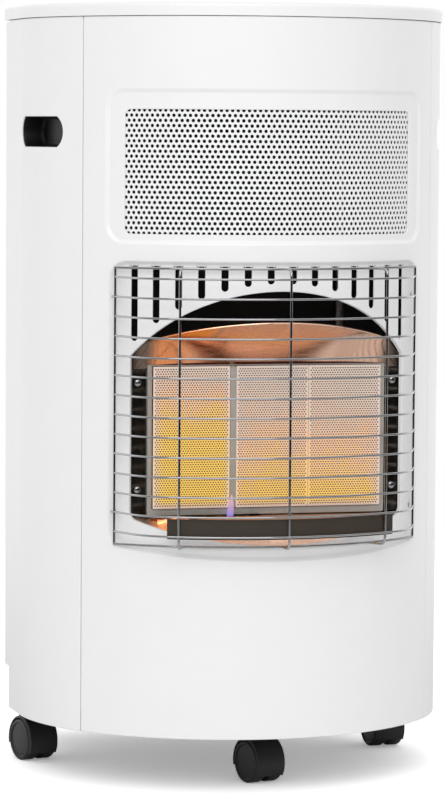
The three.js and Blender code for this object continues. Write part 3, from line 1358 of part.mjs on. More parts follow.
/** A wheel with its tyre, disc and hub; its lowest facet lies flat on the floor. */
function castorWheel(side) {
  const { wheelRadius, wheelWidth, width, trail, axle } = CASTOR;
  const sides = 14;
  const radius = wheelRadius / cos(180 / sides);
  const [bore, dish] = [axle + CLEARANCE, 2];
  const half = wheelWidth / 2;
  const profile = [
    [bore, -half],
    [radius, -half],
    [radius, half - 1.5],
    [radius - 1.5, half],
    [radius - 4, half],
    [radius - 5, half - dish],
    [bore, half - dish],
    [bore, -half],
  ];
  const geometry = new THREE.LatheGeometry(profile.map(([x, y]) => new THREE.Vector2(x, y)), sides);
  geometry.rotateY(Math.PI / sides);
  geometry.rotateZ(-Math.PI / 2);
  if (side < 0) geometry.rotateY(Math.PI);
  geometry.translate(side * (width / 2 - half), -trail, wheelRadius);
  return solid(geometry);
}

function castorAxle() {
  const { width, trail, axle, wheelRadius } = CASTOR;
  const along = new THREE.Vector3(1, 0, 0);
  return cylinder(-width / 2 + 0.5, -trail, wheelRadius, axle, width - 1, { sides: 10, along });
}

// ------------------------------------------------------------------ the heater

const heater = new THREE.Group();
const cabinet = new THREE.Group();
cabinet.position.y = CENTRE_SHIFT;
heater.add(cabinet);

function material(color, roughness, metalness, extra = {}) {
  return new THREE.MeshStandardMaterial({ color, roughness, metalness, flatShading: true, ...extra });
}

const paint = material('#ecebe8', 0.35, 0);
const galvanised = material('#a9aaa6', 0.45, 0.8);
const polished = material('#c9c6c0', 0.15, 1);
const satin = material('#8f8b84', 0.35, 0.9);
const chrome = material('#d8d8d8', 0.08, 1);
const heatedSteel = material('#4a423b', 0.4, 0.7);
const ceramic = material('#e2a874', 0.9, 0, { emissive: '#c85a20', emissiveIntensity: 0.6 });
const brass = material('#c0a35a', 0.3, 0.9);
const porcelain = material('#efe9dd', 0.4, 0);
const blackPlastic = material('#1b1b1c', 0.5, 0);
const castorPlastic = material('#262627', 0.55, 0);
const redPlastic = material('#a82a22', 0.4, 0);

function addPart(name, body, finish, parent = cabinet) {
  const mesh = new THREE.Mesh(surface(body), finish);
  mesh.name = name;
  parent.add(mesh);
}

addPart('front_panel', frontPanel(), paint);
addPart('side_panel_left', sidePanel(-1), paint);
addPart('side_panel_right', sidePanel(1), paint);
addPart('top_lid', topLid(), paint);
addPart('base_tray', baseTray(), galvanised);
addPart('rear_cover', rearCover(), paint);
addPart('rear_rail', rearRail(), paint);
addPart('vent_mesh', ventMesh(), paint);
addPart('hand_grip_left', handGrip(-1), blackPlastic);
addPart('hand_grip_right', handGrip(1), blackPlastic);
addPart('heat_shield', heatShield(), galvanised);

const dividerEdge = DIVIDER_WIDTH / 2 + CLEARANCE;
addPart('burner_plaque_left', plaque(-PLAQUE_HALF_WIDTH, DIVIDER_X - dividerEdge), ceramic);
addPart('burner_plaque_centre', plaque(DIVIDER_X + dividerEdge, JOINT_X - CLEARANCE / 2), ceramic);
addPart('burner_plaque_right', plaque(JOINT_X + CLEARANCE / 2, PLAQUE_HALF_WIDTH), ceramic);
addPart('plaque_frame', plaqueFrame(), satin);
addPart('plaque_divider', plaqueDivider(), satin);
addPart('burner_housing', burnerHousing(), galvanised);
addPart('reflector_hood', reflectorHood(), polished);
addPart('base_reflector', baseReflector(), polished);
for (const [side, word] of [[-1, 'left'], [1, 'right']]) {
  addPart(`side_reflector_${word}`, sideReflector(side), polished);
  addPart(`reflector_screw_upper_${word}`, reflectorScrew(side, SCREW.upper), chrome);
  addPart(`reflector_screw_lower_${word}`, reflectorScrew(side, SCREW.lower), chrome);
}
addPart('pilot_burner', pilotBurner(), brass);
addPart('thermocouple', thermocouple(), brass);
addPart('spark_electrode', sparkElectrode(), porcelain);
addPart('wire_guard', wireGuard(), chrome);
addPart('guard_deflector', guardDeflector(), heatedSteel);

addPart('control_bezel', controlBezel(), blackPlastic);
addPart('control_knob', controlKnob(), blackPlastic);
addPart('valve_plug', valvePlug(), brass);
addPart('valve_spindle', valveSpindle(), satin);
addPart('gas_valve_body', gasValveBody(), brass);
addPart('hose_inlet', hoseInlet(), brass);
addPart('gas_pipe', gasPipe(), galvanised);
addPart('gas_manifold', gasManifold(), brass);
addPart('igniter_button', igniterButton(), redPlastic);
addPart('igniter_body', igniterBody(), blackPlastic);

for (const { name, x, y, swivel } of castorPlaces()) {
  const castor = new THREE.Group();
  castor.position.set(x, y, 0);
  castor.rotation.z = radians(swivel);
  cabinet.add(castor);
  addPart(`castor_${name}_stem`, castorStem(), galvanised, castor);
  addPart(`castor_${name}_hood`, castorHood(), castorPlastic, castor);
  addPart(`castor_${name}_axle`, castorAxle(), galvanised, castor);
  addPart(`castor_${name}_wheel_left`, castorWheel(-1), castorPlastic, castor);
  addPart(`castor_${name}_wheel_right`, castorWheel(1), castorPlastic, castor);
}

export default heater;
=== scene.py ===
"""A portable gas cabinet heater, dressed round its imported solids.

The makers' lengths are millimetres from the middle of the front's arc on the floor, with the front
towards -Y.
`to_row` turns them into metres in the row frame.
"""
import json
import math

import bpy
import numpy as np
from mathutils import Matrix, Vector, geometry


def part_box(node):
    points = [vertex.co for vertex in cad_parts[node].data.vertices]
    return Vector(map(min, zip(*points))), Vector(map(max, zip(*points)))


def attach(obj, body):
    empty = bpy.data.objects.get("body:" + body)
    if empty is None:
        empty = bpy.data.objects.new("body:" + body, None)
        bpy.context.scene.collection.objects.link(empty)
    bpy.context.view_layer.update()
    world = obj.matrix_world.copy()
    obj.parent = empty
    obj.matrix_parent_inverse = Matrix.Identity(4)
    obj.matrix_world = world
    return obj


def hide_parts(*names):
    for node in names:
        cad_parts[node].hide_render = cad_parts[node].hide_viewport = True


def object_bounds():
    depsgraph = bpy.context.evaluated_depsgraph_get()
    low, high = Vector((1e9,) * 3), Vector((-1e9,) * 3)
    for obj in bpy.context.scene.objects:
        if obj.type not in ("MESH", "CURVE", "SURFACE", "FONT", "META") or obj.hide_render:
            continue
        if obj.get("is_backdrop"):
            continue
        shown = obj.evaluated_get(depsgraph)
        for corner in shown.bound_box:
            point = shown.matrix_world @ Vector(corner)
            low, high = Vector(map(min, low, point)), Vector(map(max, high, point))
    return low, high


bl_info = {
    "name": "Gas Cabinet Heater",
    "version": (1, 0, 0),
    "blender": (4, 5, 0),
    "location": "View3D > Sidebar > Heater",
    "description": "Dresses a bow-fronted gas cabinet heater and its studio, piece by piece",
    "category": "Add Mesh",
}

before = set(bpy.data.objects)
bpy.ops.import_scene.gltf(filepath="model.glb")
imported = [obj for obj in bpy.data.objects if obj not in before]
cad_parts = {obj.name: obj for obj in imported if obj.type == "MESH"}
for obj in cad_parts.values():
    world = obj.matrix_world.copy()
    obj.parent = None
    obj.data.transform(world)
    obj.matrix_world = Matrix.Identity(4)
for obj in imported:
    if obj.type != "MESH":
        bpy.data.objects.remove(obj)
CAD_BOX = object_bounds()

# ---------------------------------------------------------------- sizes, in millimetres

MM = 0.001
GUARD_RADIUS = 235.5
WIRE = 2.0
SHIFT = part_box("wire_guard")[0].y / MM + GUARD_RADIUS + WIRE / 2  # from the arc's middle to the row's
SHEET = 1.2
TRIM = 0.8
CLEARANCE = 0.3
HEIGHT = 730.0
HALF_WIDTH = 204.0
FRONT_RADIUS = 209.0
SIDE_RADIUS = 182.8
SEAM_ANGLE = 54.0
SEAM_GAP = 0.8
SIDE_REAR = 52.0
SIDE_STRAIGHT = 67.4
REAR_RETURN = 30.0
REAR_BEND = 2.5
CASING_BOTTOM = 54.0
LID_SEAM = 717.7
PANEL_TOP = LID_SEAM - CLEARANCE
SIDE_NOTCH = {"width": 19.0, "top": 94.0, "lid": 2.0}
LID_OVERHANG = 1.5
FOLD_DEPTH = 12.0
CURVE_STEP = 5.5  # longest step round the casing, small enough to look smooth

VENT = {"half_angle": 41.5, "bottom": 518.5, "top": 632.5, "corner": 6.0}
VENT_FIELD = {"half_angle": 47.0, "bottom": 508.5, "top": 652.0, "corner": 20.0, "depth": 2.5, "bevel": 5.0}
FIRE_FIELD = {"half_angle": 46.0, "lowest": 218.0, "sag": 1190.0, "top": 494.5, "corner": 20.0, "depth": 4.0,
              "bevel": 5.0}
OPENING = {"half_angle": 40.0, "apex": 466.6, "arch": 206.9, "lowest": 233.0, "sag": 465.0, "corner": 9.0}
SLOT = {"pairs": 7, "step": 5.97, "width": 6.6, "top": 490.3, "arch_gap": 7.0}
GRIP = {"angle": 75.2, "length": 83.0, "straight": 65.0, "bottom": 597.0, "height": 28.4, "depth": 22.0}

PLAQUE_FACE = 159.0
PLAQUE_HALF = 109.8
PLAQUE_BOTTOM = 264.5
PLAQUE_TOP = 396.0
PLAQUE_DEPTH = 13.0
PLAQUE_MARGIN = 1.2  # without pores, all round
DIVIDER = {"x": -33.25, "width": 5.5}
JOINT_X = 39.6
FRAME_FACE = 157.0
FRAME_HALF = 114.5
FRAME_BOTTOM = 257.5
FRAME_TOP = 397.5
HOOD = {"radius": 200.0, "apex": 437.0, "arch": 480.0, "rear": 397.8, "wing_drop": 4.0}
SIDE_PLATE = {"face": 153.0, "outer": 128.6}
SCREWS = {"x": 123.0, "upper": 381.0, "lower": 282.0}
PILOT = {"x": -37.0, "y": -163.0, "shelf": 243.0, "spread": 16.0, "top": 253.0}
FLAME = {"radius": 5.4, "height": 24.0, "blue": 22.0}  # blue turns to pink over the last
GLOW_REFLECTION_BAND = {"full": -90.0, "gone": -30.0, "edge": 6.0}  # ends along X of the painted orange reflection of the glow, and half-width of the painted brown reflection at the sheet's ends
PALE_PAINTED_EDGE = {"foot": 7.0, "side": 10.0, "full": 2.0}  # paler bands at the plaques' foot and sides, emitted as painted light
SOFT_BOX = {"at": (-0.75, -2.5, 1.9), "aim": (0, 0, 0.45), "width": 2.6, "height": 1.8}  # metres
FLOOR = {"bright": 0.7, "gone": 2.2}  # metres from the middle at which the floor fades out

GUARD = {"bend_angle": 27.0, "bend": 60.0, "end_angle": 70.0, "end_run": 25.7, "rows": 14, "top": 478.9,
         "pitch": 18.06, "upright": 2.4, "upright_angle": 25.0, "prong": 5.0}
DEFLECTOR = {"half_angle": 27.8, "bottom": 241.5, "top": 260.2}

WELL = {"left": 40.0, "right": 172.0, "front": -34.0, "rear": 34.0, "depth": 26.0, "corner": 10.0}
KNOB = {"x": 82.0, "radius": 21.0, "height": 16.0, "travel": 4.0}
IGNITER = {"x": 142.0, "radius": 8.0, "travel": 6.0, "head": 5.0}
BEZEL_TOP = HEIGHT - WELL["depth"] + CLEARANCE + 3.0

COVER = {"rear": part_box("rear_cover")[1].y / MM - SHIFT, "half": 168.0, "corner": 60.0, "bend": 3.0,
         "flange": 26.0, "top": 640.0, "bottom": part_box("rear_cover")[0].z / MM}
LOUVRE = {"columns": 2, "rows": 5, "length": 90.0, "height": 7.0, "pitch": 24.0, "spread": 120.0,
          "top": 590.0}
RAIL_SLOT = {"count": 7, "width": 26.0, "pitch": 44.0, "height": 8.0}

CASTOR = {"radius": 20.0, "wheel": 13.0, "width": 32.0, "trail": 14.0, "hood_arc": (-15.0, 211.0)}
CASTOR_PLACES = {"front": (0.0, -112.0, 16.0), "left": (-180.0, 60.0, 16.0), "right": (180.0, 60.0, 6.0)}

CAMERA = {"x": -0.9476, "y": -3.4171, "z": 0.6135, "azimuth": 15.5, "drop": 4.21, "roll": 0.40, "lens": 164.8}


def sin(degrees):
    return math.sin(math.radians(degrees))


def cos(degrees):
    return math.cos(math.radians(degrees))


def to_row(point):
    """Millimetres from the arc's middle to metres in the row frame."""
    return (point[0] * MM, (point[1] + SHIFT) * MM, point[2] * MM)


# ---------------------------------------------------------------- flat outlines, anticlockwise from outside


def arc(x, y, radius, start, end, steps):
    """Points on an arc between two angles in degrees, both ends included."""
    turns = [start + (end - start) * i / steps for i in range(steps + 1)]
    return [(x + radius * cos(turn), y + radius * sin(turn)) for turn in turns]


def rounded_rectangle(left, right, bottom, top, radius, steps=6):
    corners = [(right, bottom, -1, 1, -90), (right, top, -1, -1, 0), (left, top, 1, -1, 90),
               (left, bottom, 1, 1, 180)]
    outline = []
    for x, y, across, up, start in corners:
        outline += arc(x + across * radius, y + up * radius, radius, start, start + 90, steps)
    return outline


def dense(outline, step=CURVE_STEP):
    """The outline with points added, so that no step along it is longer than `step`."""
    points = []
    for i, here in enumerate(outline):
        there = outline[(i + 1) % len(outline)]
        parts = max(1, math.ceil(math.dist(here, there) / step))
        points += [tuple(a + (b - a) * k / parts for a, b in zip(here, there)) for k in range(parts)]
    return [p for i, p in enumerate(points) if math.dist(p, points[i - 1]) > 1e-4]


def ways_out(outline):
    """At each point the step that grows the outline by one, along the mitre of its two edges."""
    points = np.array(outline)
    along = np.roll(points, -1, axis=0) - points
    along /= np.linalg.norm(along, axis=1)[:, None]
    out = np.stack([along[:, 1], -along[:, 0]], axis=1)
    before = np.roll(out, 1, axis=0)
    return (out + before) / (1 + (out * before).sum(axis=1))[:, None]


def on_front(angle):
    """Distance along the front for an angle from straight ahead."""
    return math.radians(angle) * FRONT_RADIUS


def sagging_bottom(half, lowest, sag, corner):
    """A sagging lower edge with its rounded corners, from left to right."""
    centre = lowest + sag
    x = half - corner
    y = centre - math.sqrt((sag - corner) ** 2 - x * x)
    lean = math.degrees(math.atan2(x, centre - y))
    return (arc(-x, y, corner, 180, 270 - lean, 6) + arc(0, centre, sag, 270 - lean, 270 + lean, 36)[1:-1]
            + arc(x, y, corner, 270 + lean, 360, 6))


def opening_outline():
    half = on_front(OPENING["half_angle"])
    spring = math.degrees(math.acos(half / OPENING["arch"]))
    arch = arc(0, OPENING["apex"] - OPENING["arch"], OPENING["arch"], spring, 180 - spring, 44)
    return sagging_bottom(half, OPENING["lowest"], OPENING["sag"], OPENING["corner"]) + arch


def fire_field_outline():
    half, corner, top = on_front(FIRE_FIELD["half_angle"]), FIRE_FIELD["corner"], FIRE_FIELD["top"]
    return (sagging_bottom(half, FIRE_FIELD["lowest"], FIRE_FIELD["sag"], corner)
            + arc(half - corner, top - corner, corner, 0, 90, 8) + arc(corner - half, top - corner, corner,
                                                                       90, 180, 8))


def slot_outline(angle):
    """One upright slot with round ends, its lower end following the arch."""
    middle, half = on_front(angle), SLOT["width"] / 2
    reach = OPENING["arch"] + SLOT["arch_gap"]
    low = OPENING["apex"] - OPENING["arch"] + math.sqrt(reach ** 2 - middle ** 2) + half
    high = SLOT["top"] - half
    return arc(middle, high, half, 0, 180, 8) + arc(middle, low, half, 180, 360, 8)


def grip_outline(side):
    """The hand-hold's outline, straight above and below and bulged at both ends."""
    middle = side * (on_front(SEAM_ANGLE) + math.radians(GRIP["angle"] - SEAM_ANGLE) * SIDE_RADIUS)
    half, bulge = GRIP["height"] / 2, (GRIP["length"] - GRIP["straight"]) / 2
    radius = (half ** 2 + bulge ** 2) / (2 * bulge)
    reach = GRIP["length"] / 2 - radius
    lean = math.degrees(math.asin(half / radius))
    height = GRIP["bottom"] + half
    right = arc(middle + reach, height, radius, -lean, lean, 10)
    return right + arc(middle - reach, height, radius, 180 - lean, 180 + lean, 10)


# ---------------------------------------------------------------- where flat outlines come to lie


class Rolled:
    """A surface rolled round a plan of straight runs and arcs, with the heater's inside on the walker's left.

    Across it runs the distance from the plan's middle, up it runs Z, and depth goes inside.
    """

    def __init__(self, start, heading, runs):
        self.runs = []
        place, walked = Vector(start), 0.0
        for length, turn in runs:
            arc_length = abs(math.radians(turn)) * length if turn else length
            self.runs.append((place, heading, walked, length, turn))
            place = self.walk(self.runs[-1], arc_length, 0)[0]
            heading += turn
            walked += arc_length
        self.middle = walked / 2

    def walk(self, run, distance, depth):
        """The place and the way out, after a distance along one run."""
        start, heading, _, length, turn = run
        left = Vector((-sin(heading), cos(heading)))
        if not turn:
            return start + Vector((cos(heading), sin(heading))) * distance + left * depth, -left
        side = 1 if turn > 0 else -1
        turned = Matrix.Rotation(side * distance / length, 2)
        swung = turned @ (left * -side * (length - side * depth))
        return start + left * side * length + swung, turned @ -left

    def at(self, across, depth=0.0):
        distance = across + self.middle
        run = next((r for r in reversed(self.runs) if r[2] <= distance + 1e-9), self.runs[0])
        return self.walk(run, distance - run[2], depth)

    def lay(self, across, up, depth):
        """A point of the surface, with its way out, its way across and its way up."""
        place, out = self.at(across, depth)
        return (place.x, place.y, up), (out.x, out.y, 0.0), (-out.y, out.x, 0.0), (0.0, 0.0, 1.0)


class Flat:
    """A flat surface: depth goes against its way out."""

    def __init__(self, origin, across, up):
        self.origin, self.across, self.up = Vector(origin), Vector(across), Vector(up)
        self.out = self.across.cross(self.up)

    def lay(self, across, up, depth):
        place = self.origin + self.across * across + self.up * up - self.out * depth
        return tuple(place), tuple(self.out), tuple(self.across), tuple(self.up)


def facing_front(y):
    return Flat((0, -y, 0), (1, 0, 0), (0, 0, 1))


def facing_up(z):
    return Flat((0, 0, z), (1, 0, 0), (0, 1, 0))


CASING = Rolled((REAR_RETURN - HALF_WIDTH, SIDE_REAR), 180, [
    (REAR_RETURN - REAR_BEND, 0), (REAR_BEND, 90), (SIDE_STRAIGHT - REAR_BEND, 0),
    (SIDE_RADIUS, 90 - SEAM_ANGLE),
    (FRONT_RADIUS, 2 * SEAM_ANGLE), (SIDE_RADIUS, 90 - SEAM_ANGLE), (SIDE_STRAIGHT - REAR_BEND, 0),
    (REAR_BEND, 90),
    (REAR_RETURN - REAR_BEND, 0)])
COVER_FACE = SIDE_REAR + CLEARANCE + SHEET
COVER_SIDE = COVER["rear"] - COVER["corner"] - COVER_FACE - COVER["bend"]
REAR_PLAN = Rolled((COVER["half"] + COVER["bend"] + COVER["flange"], COVER_FACE), 180, [
    (COVER["flange"], 0), (COVER["bend"], -90), (COVER_SIDE, 0), (COVER["corner"], 90),
    (2 * (COVER["half"] - COVER["corner"]), 0), (COVER["corner"], 90), (COVER_SIDE, 0), (COVER["bend"], -90),
    (COVER["flange"], 0)])


# ---------------------------------------------------------------- sheets with exact shading


class Skin:
    """Points, faces and corner normals of one sheet-metal or moulded piece.

    A station is (grow, depth, lean): how far a ring lies outside its outline, how deep, and how its
    normal leans from the surface's way out (0) towards the ring's way out (90) or its inside (-90), in
    degrees.
    """

    def __init__(self, surface, thickness=SHEET):
        self.surface, self.thickness = surface, thickness
        self.points, self.outs, self.faces, self.normals = [], [], [], []

    def point(self, across, up, depth):
        place, out, *_ = self.surface.lay(across, up, depth)
        self.points.append(place)
        self.outs.append(out)
        return len(self.points) - 1

    def ring(self, outline, grow, depth):
        """One closed ring: its points' numbers, flat places and the 3-D way out of the outline at each."""
        ways = ways_out(outline)
        flat = [(x + way[0] * grow, y + way[1] * grow) for (x, y), way in zip(outline, ways)]
        numbers = [self.point(x, y, depth) for x, y in flat]
        spread = []
        for (x, y), way in zip(flat, ways):
            _, _, across, up = self.surface.lay(x, y, depth)
            spread.append((Vector(across) * way[0] + Vector(up) * way[1]).normalized())
        return {"numbers": numbers, "flat": flat, "spread": spread}

    def lean(self, ring, i, degrees):
        out = Vector(self.outs[ring["numbers"][i]])
        return out * cos(degrees) + ring["spread"][i] * sin(degrees)

    def band(self, first, second, leans, flip=False):
        """The strip of faces between two rings, with one lean at each."""
        count = len(first["numbers"])
        for i in range(count):
            k = (i + 1) % count
            corners = [(first, i, leans[0]), (first, k, leans[0]), (second, k, leans[1]),
                       (second, i, leans[1])]
            if flip:
                corners.reverse()
            self.faces.append([ring["numbers"][j] for ring, j, _ in corners])
            self.normals += [self.lean(ring, j, lean) for ring, j, lean in corners]

    def rim(self, outline, stations, outer=False, base=0.0):
        """A finished edge through stations, from face to back. Returns its first and last ring."""
        rings = [self.ring(outline, grow, base + depth) for grow, depth, *_ in stations]
        for here, there, a, b in zip(rings, rings[1:], stations, stations[1:]):
            self.band(here, there, (a[-1], b[2]), flip=outer)
        return rings[0], rings[-1]

    def field(self, outline, stations, base=0.0):
        """A field pressed into the sheet. Returns its upper and lower ring pairs, each of face and back."""
        fronts, backs = [], []
        for grow, depth, *_, lean in stations:
            fronts.append(self.ring(outline, grow, base + depth))
            offset = self.thickness
            backs.append(self.ring(outline, grow - offset * sin(lean), base + depth + offset * cos(lean)))
        for k in range(len(stations) - 1):
            leans = (stations[k][-1], stations[k + 1][2])
            self.band(fronts[k], fronts[k + 1], leans)
            self.band(backs[k], backs[k + 1], tuple(180 + lean for lean in leans), flip=True)
        return (fronts[0], backs[0]), (fronts[-1], backs[-1])

    def fill(self, outer, inner, depth, back_depth, columns=CURVE_STEP, rows=18.0):
        """The sheet's face and back between ring pairs, on a grid of points that follows the surface."""
        pairs = [outer, *inner]
        flat, edges, numbers, hidden = [], [], [], []
        for front, back in pairs:
            first, count = len(flat), len(front["flat"])
            flat += front["flat"]
            numbers += front["numbers"]
            hidden += back["numbers"] if back else [None] * count
            edges += [(first + i, first + (i + 1) % count) for i in range(count)]
        rings = [np.array(front["flat"]) for front, _ in pairs]
        low, high = rings[0].min(axis=0), rings[0].max(axis=0)
        across = np.arange(low[0] + columns / 2, high[0], columns)
        up = np.arange(low[1] + rows / 2, high[1], rows)
        grid = np.array([(x, y) for x in across for y in up]) if columns else np.zeros((0, 2))
        if len(grid):
            near = np.array(flat)
            gap = np.sqrt(((grid[:, None, :] - near[None, :, :]) ** 2).sum(axis=2)).min(axis=1)
            grid = grid[between(grid, rings) & (gap > 3.0)]
        for x, y in grid:
            flat.append((x, y))
            numbers.append(self.point(x, y, depth))
            hidden.append(self.point(x, y, back_depth) if outer[1] else None)
        made = geometry.delaunay_2d_cdt([Vector(p) for p in flat], edges, [], 0, 1e-5)
        places, faces, origins = made[0], made[2], made[3]
        keep = between(np.array([sum((places[i] for i in face), Vector((0, 0))) / 3 for face in faces]),
                       rings)
        for face, kept in zip(faces, keep):
            if not kept or not all(origins[i] for i in face):
                continue
            chosen = [origins[i][0] for i in face]
            a, b, c = (Vector(flat[i]) for i in chosen)
            if (b - a).cross(c - a) < 0:
                chosen.reverse()
            corners = [numbers[i] for i in chosen]
            self.faces.append(corners)
            self.normals += [self.outs[i] for i in corners]
            if outer[1]:
                corners = [hidden[i] for i in reversed(chosen)]
                self.faces.append(corners)
                self.normals += [tuple(-v for v in self.outs[i]) for i in corners]


def between(points, rings):
    """Which points lie inside the first ring and outside the others."""
    inside = [even_odd(points, ring) for ring in rings]
    result = inside[0]
    for hole in inside[1:]:
        result = result & ~hole
    return result


def even_odd(points, ring):
    x, y = points[:, 0][:, None], points[:, 1][:, None]
    ax, ay = ring[:, 0][None, :], ring[:, 1][None, :]
    bx, by = np.roll(ring[:, 0], -1)[None, :], np.roll(ring[:, 1], -1)[None, :]
    crosses = (ay > y) != (by > y)
    with np.errstate(divide="ignore", invalid="ignore"):
        at = ax + (y - ay) * (bx - ax) / (by - ay)
    return (crosses & (x < at)).sum(axis=1) % 2 == 1


def cut_edge(radius=0.5, through=SHEET):
    """Stations of a hole's edge: rounded on the face and sharp at the back."""
    turn = [(radius * (1 - sin(a)), radius * (1 - cos(a)), -a) for a in (0, 30, 60, 90)]
    return [*turn, (0, through, -90, -180)]


def folded_edge(radius=1.0, fold=FOLD_DEPTH, sheet=SHEET):
    """Stations of a panel's own edge: rounded, then folded back inside."""
    turn = [(-radius * (1 - sin(a)), radius * (1 - cos(a)), a) for a in (0, 30, 60, 90)]
    return [*turn, (0, fold, 90, 180), (-sheet, fold, 180, 270), (-sheet, sheet, 270, 180)]


def pressed_edge(field):
    """Stations of a pressed field's soft bevel, from the sheet's face down to its floor."""
    stations = []
    for i in range(9):
        t = i / 8
        slope = field["depth"] / field["bevel"] * 6 * t * (1 - t)
        depth = field["depth"] * t * t * (3 - 2 * t)
        stations.append((-field["bevel"] * t, depth, -math.degrees(math.atan(slope))))
    return stations


# ---------------------------------------------------------------- turned, swept and moulded forms


class Mould:
    """Points and faces of a piece that is shaded by the angle between its faces."""

    def __init__(self):
        self.points, self.faces, self.normals = [], [], None

    def add(self, points):
        first = len(self.points)
        self.points += [tuple(p) for p in points]
        return list(range(first, len(self.points)))

    def grid(self, rows, closed=False):
        """Faces between rows of points; `closed` joins each row's ends."""
        numbers = [self.add(row) for row in rows]
        for here, there in zip(numbers, numbers[1:]):
            count = len(here)
            for i in range(count if closed else count - 1):
                k = (i + 1) % count
                self.faces.append([here[i], here[k], there[k], there[i]])
        return numbers

    def turned(self, profile, place, sides=32):
        """A profile of (axial, radius) turned once round; radius 0 closes an end."""
        rows = []
        for axial, radius in profile:
            if radius <= 0:
                rows.append(self.add([place(axial, 0, 0)]))
            else:
                rows.append(self.add([place(axial, radius * cos(360 * i / sides),
                                            radius * sin(360 * i / sides))
                                      for i in range(sides)]))
        for here, there in zip(rows, rows[1:]):
            for i in range(sides):
                k = (i + 1) % sides
                corners = [here[i % len(here)], here[k % len(here)], there[k % len(there)],
                           there[i % len(there)]]
                self.faces.append(list(dict.fromkeys(corners)))
        return self

    def swept(self, points, radius, sides=10):
        """A round bar through points, with closed ends."""
        line = [Vector(p) for p in points]
        tangents = [(line[min(i + 1, len(line) - 1)] - line[max(i - 1,
                                                                0)]).normalized() for i in range(len(line))]
        side = tangents[0].orthogonal().normalized()
        rows = []
        for here, tangent in zip(line, tangents):
            side = (side - tangent * side.dot(tangent)).normalized()
            other = tangent.cross(side)
            rows.append([here + (side * cos(360 * i / sides) + other * sin(360 * i / sides)) * radius
                         for i in range(sides)])
        numbers = self.grid(rows, closed=True)
        self.faces += [numbers[0][::-1], numbers[-1]]
        return self

    def thick_grid(self, rows, offset):
        """A sheet through rows of points, closed all round, its back moved by `offset`."""
        back = [[Vector(p) + Vector(offset) for p in row] for row in rows]
        loop = [*rows, *back[::-1]]
        numbers = self.grid([[*row] for row in loop])
        self.faces += [[numbers[-1][i], numbers[-1][i + 1], numbers[0][i + 1], numbers[0][i]]
                       for i in range(len(rows[0]) - 1)]
        count = len(rows)
        for i in range(count - 1):
            for end in (0, -1):
                self.faces.append([numbers[i][end], numbers[i + 1][end],
                                   numbers[-2 - i][end], numbers[-1 - i][end]])
        return self


def along(axis, origin):
    """Where a turned profile's point goes: `axis` is the row axis that it turns round."""
    x, y, z = origin
    return {
        "x": lambda a, u, v: (x + a, y + u, z + v),
        "y": lambda a, u, v: (x + v, y + a, z + u),
        "z": lambda a, u, v: (x + u, y + v, z + a),
    }[axis]


def piece(name, made, material, body="cabinet", stands_for=(), smooth_below=35.0):
    """Makes the mesh and has it ride on its body, in place of the nodes that it stands for."""
    mesh = bpy.data.meshes.new(name)
    mesh.from_pydata([to_row(p) for p in made.points], [], made.faces)
    mesh.shade_smooth()
    if made.normals is None:
        mesh.set_sharp_from_angle(angle=math.radians(smooth_below))
    else:
        mesh.normals_split_custom_set([tuple(n) for n in made.normals])
    for each in material if isinstance(material, (list, tuple)) else [material]:
        mesh.materials.append(each)
    result = bpy.data.objects.new(name, mesh)
    bpy.context.scene.collection.objects.link(result)
    if stands_for:
        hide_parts(*stands_for)
    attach(result, body)
    return result


def dress(material, *nodes):
    """Gives carried-over CAD nodes their finish."""
    for node in nodes:
        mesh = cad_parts[node].data
        mesh.materials.clear()
        mesh.materials.append(material)


# ---------------------------------------------------------------- finishes


def linear(colour):
    """An sRGB hex colour as linear RGBA."""
    channels = [int(colour[i:i + 2], 16) / 255 for i in (1, 3, 5)]
    return (*[c / 12.92 if c <= 0.04045 else ((c + 0.055) / 1.055) ** 2.4 for c in channels], 1.0)


def add_node(tree, kind, inputs=None, **settings):
    """Adds one node with its settings; an input is a value, or the socket that feeds it."""
    made = tree.nodes.new(kind)
    for name, value in settings.items():
        setattr(made, name, value)
    for key, value in (inputs or {}).items():
        if isinstance(value, bpy.types.NodeSocket):
            tree.links.new(value, made.inputs[key])
        else:
            made.inputs[key].default_value = value
    return made


def mixed(tree, factor, first, second):
    """Two colours mixed by a factor."""
    return add_node(tree, "ShaderNodeMix", {"Factor": factor, 6: first, 7: second},
                    data_type="RGBA").outputs[2]


def worked(tree, operation, *values):
    """One step of arithmetic."""
    return add_node(tree, "ShaderNodeMath", dict(enumerate(values)), operation=operation).outputs[0]


def ranged(tree, value, low, high, start=0.0, end=1.0):
    """A value moved from one range to another, and held at its ends."""
    return add_node(tree, "ShaderNodeMapRange", {"Value": value, "From Min": low, "From Max": high,
                                                 "To Min": start, "To Max": end}).outputs["Result"]


def place_on(tree):
    """Where on the object a point lies, in metres, and the same as X, Y and Z."""
    place = add_node(tree, "ShaderNodeTexCoord").outputs["Object"]
    return place, add_node(tree, "ShaderNodeSeparateXYZ", {"Vector": place}).outputs


def per_metre(millimetres):
    """Texture scale for a pattern that repeats every so many millimetres."""
    return 1 / (millimetres * MM)


def noise(tree, place, size, detail):
    """Soft noise whose patches are so many millimetres across."""
    settings = {"Vector": place, "Scale": per_metre(size), "Detail": detail}
    return add_node(tree, "ShaderNodeTexNoise", settings).outputs["Fac"]


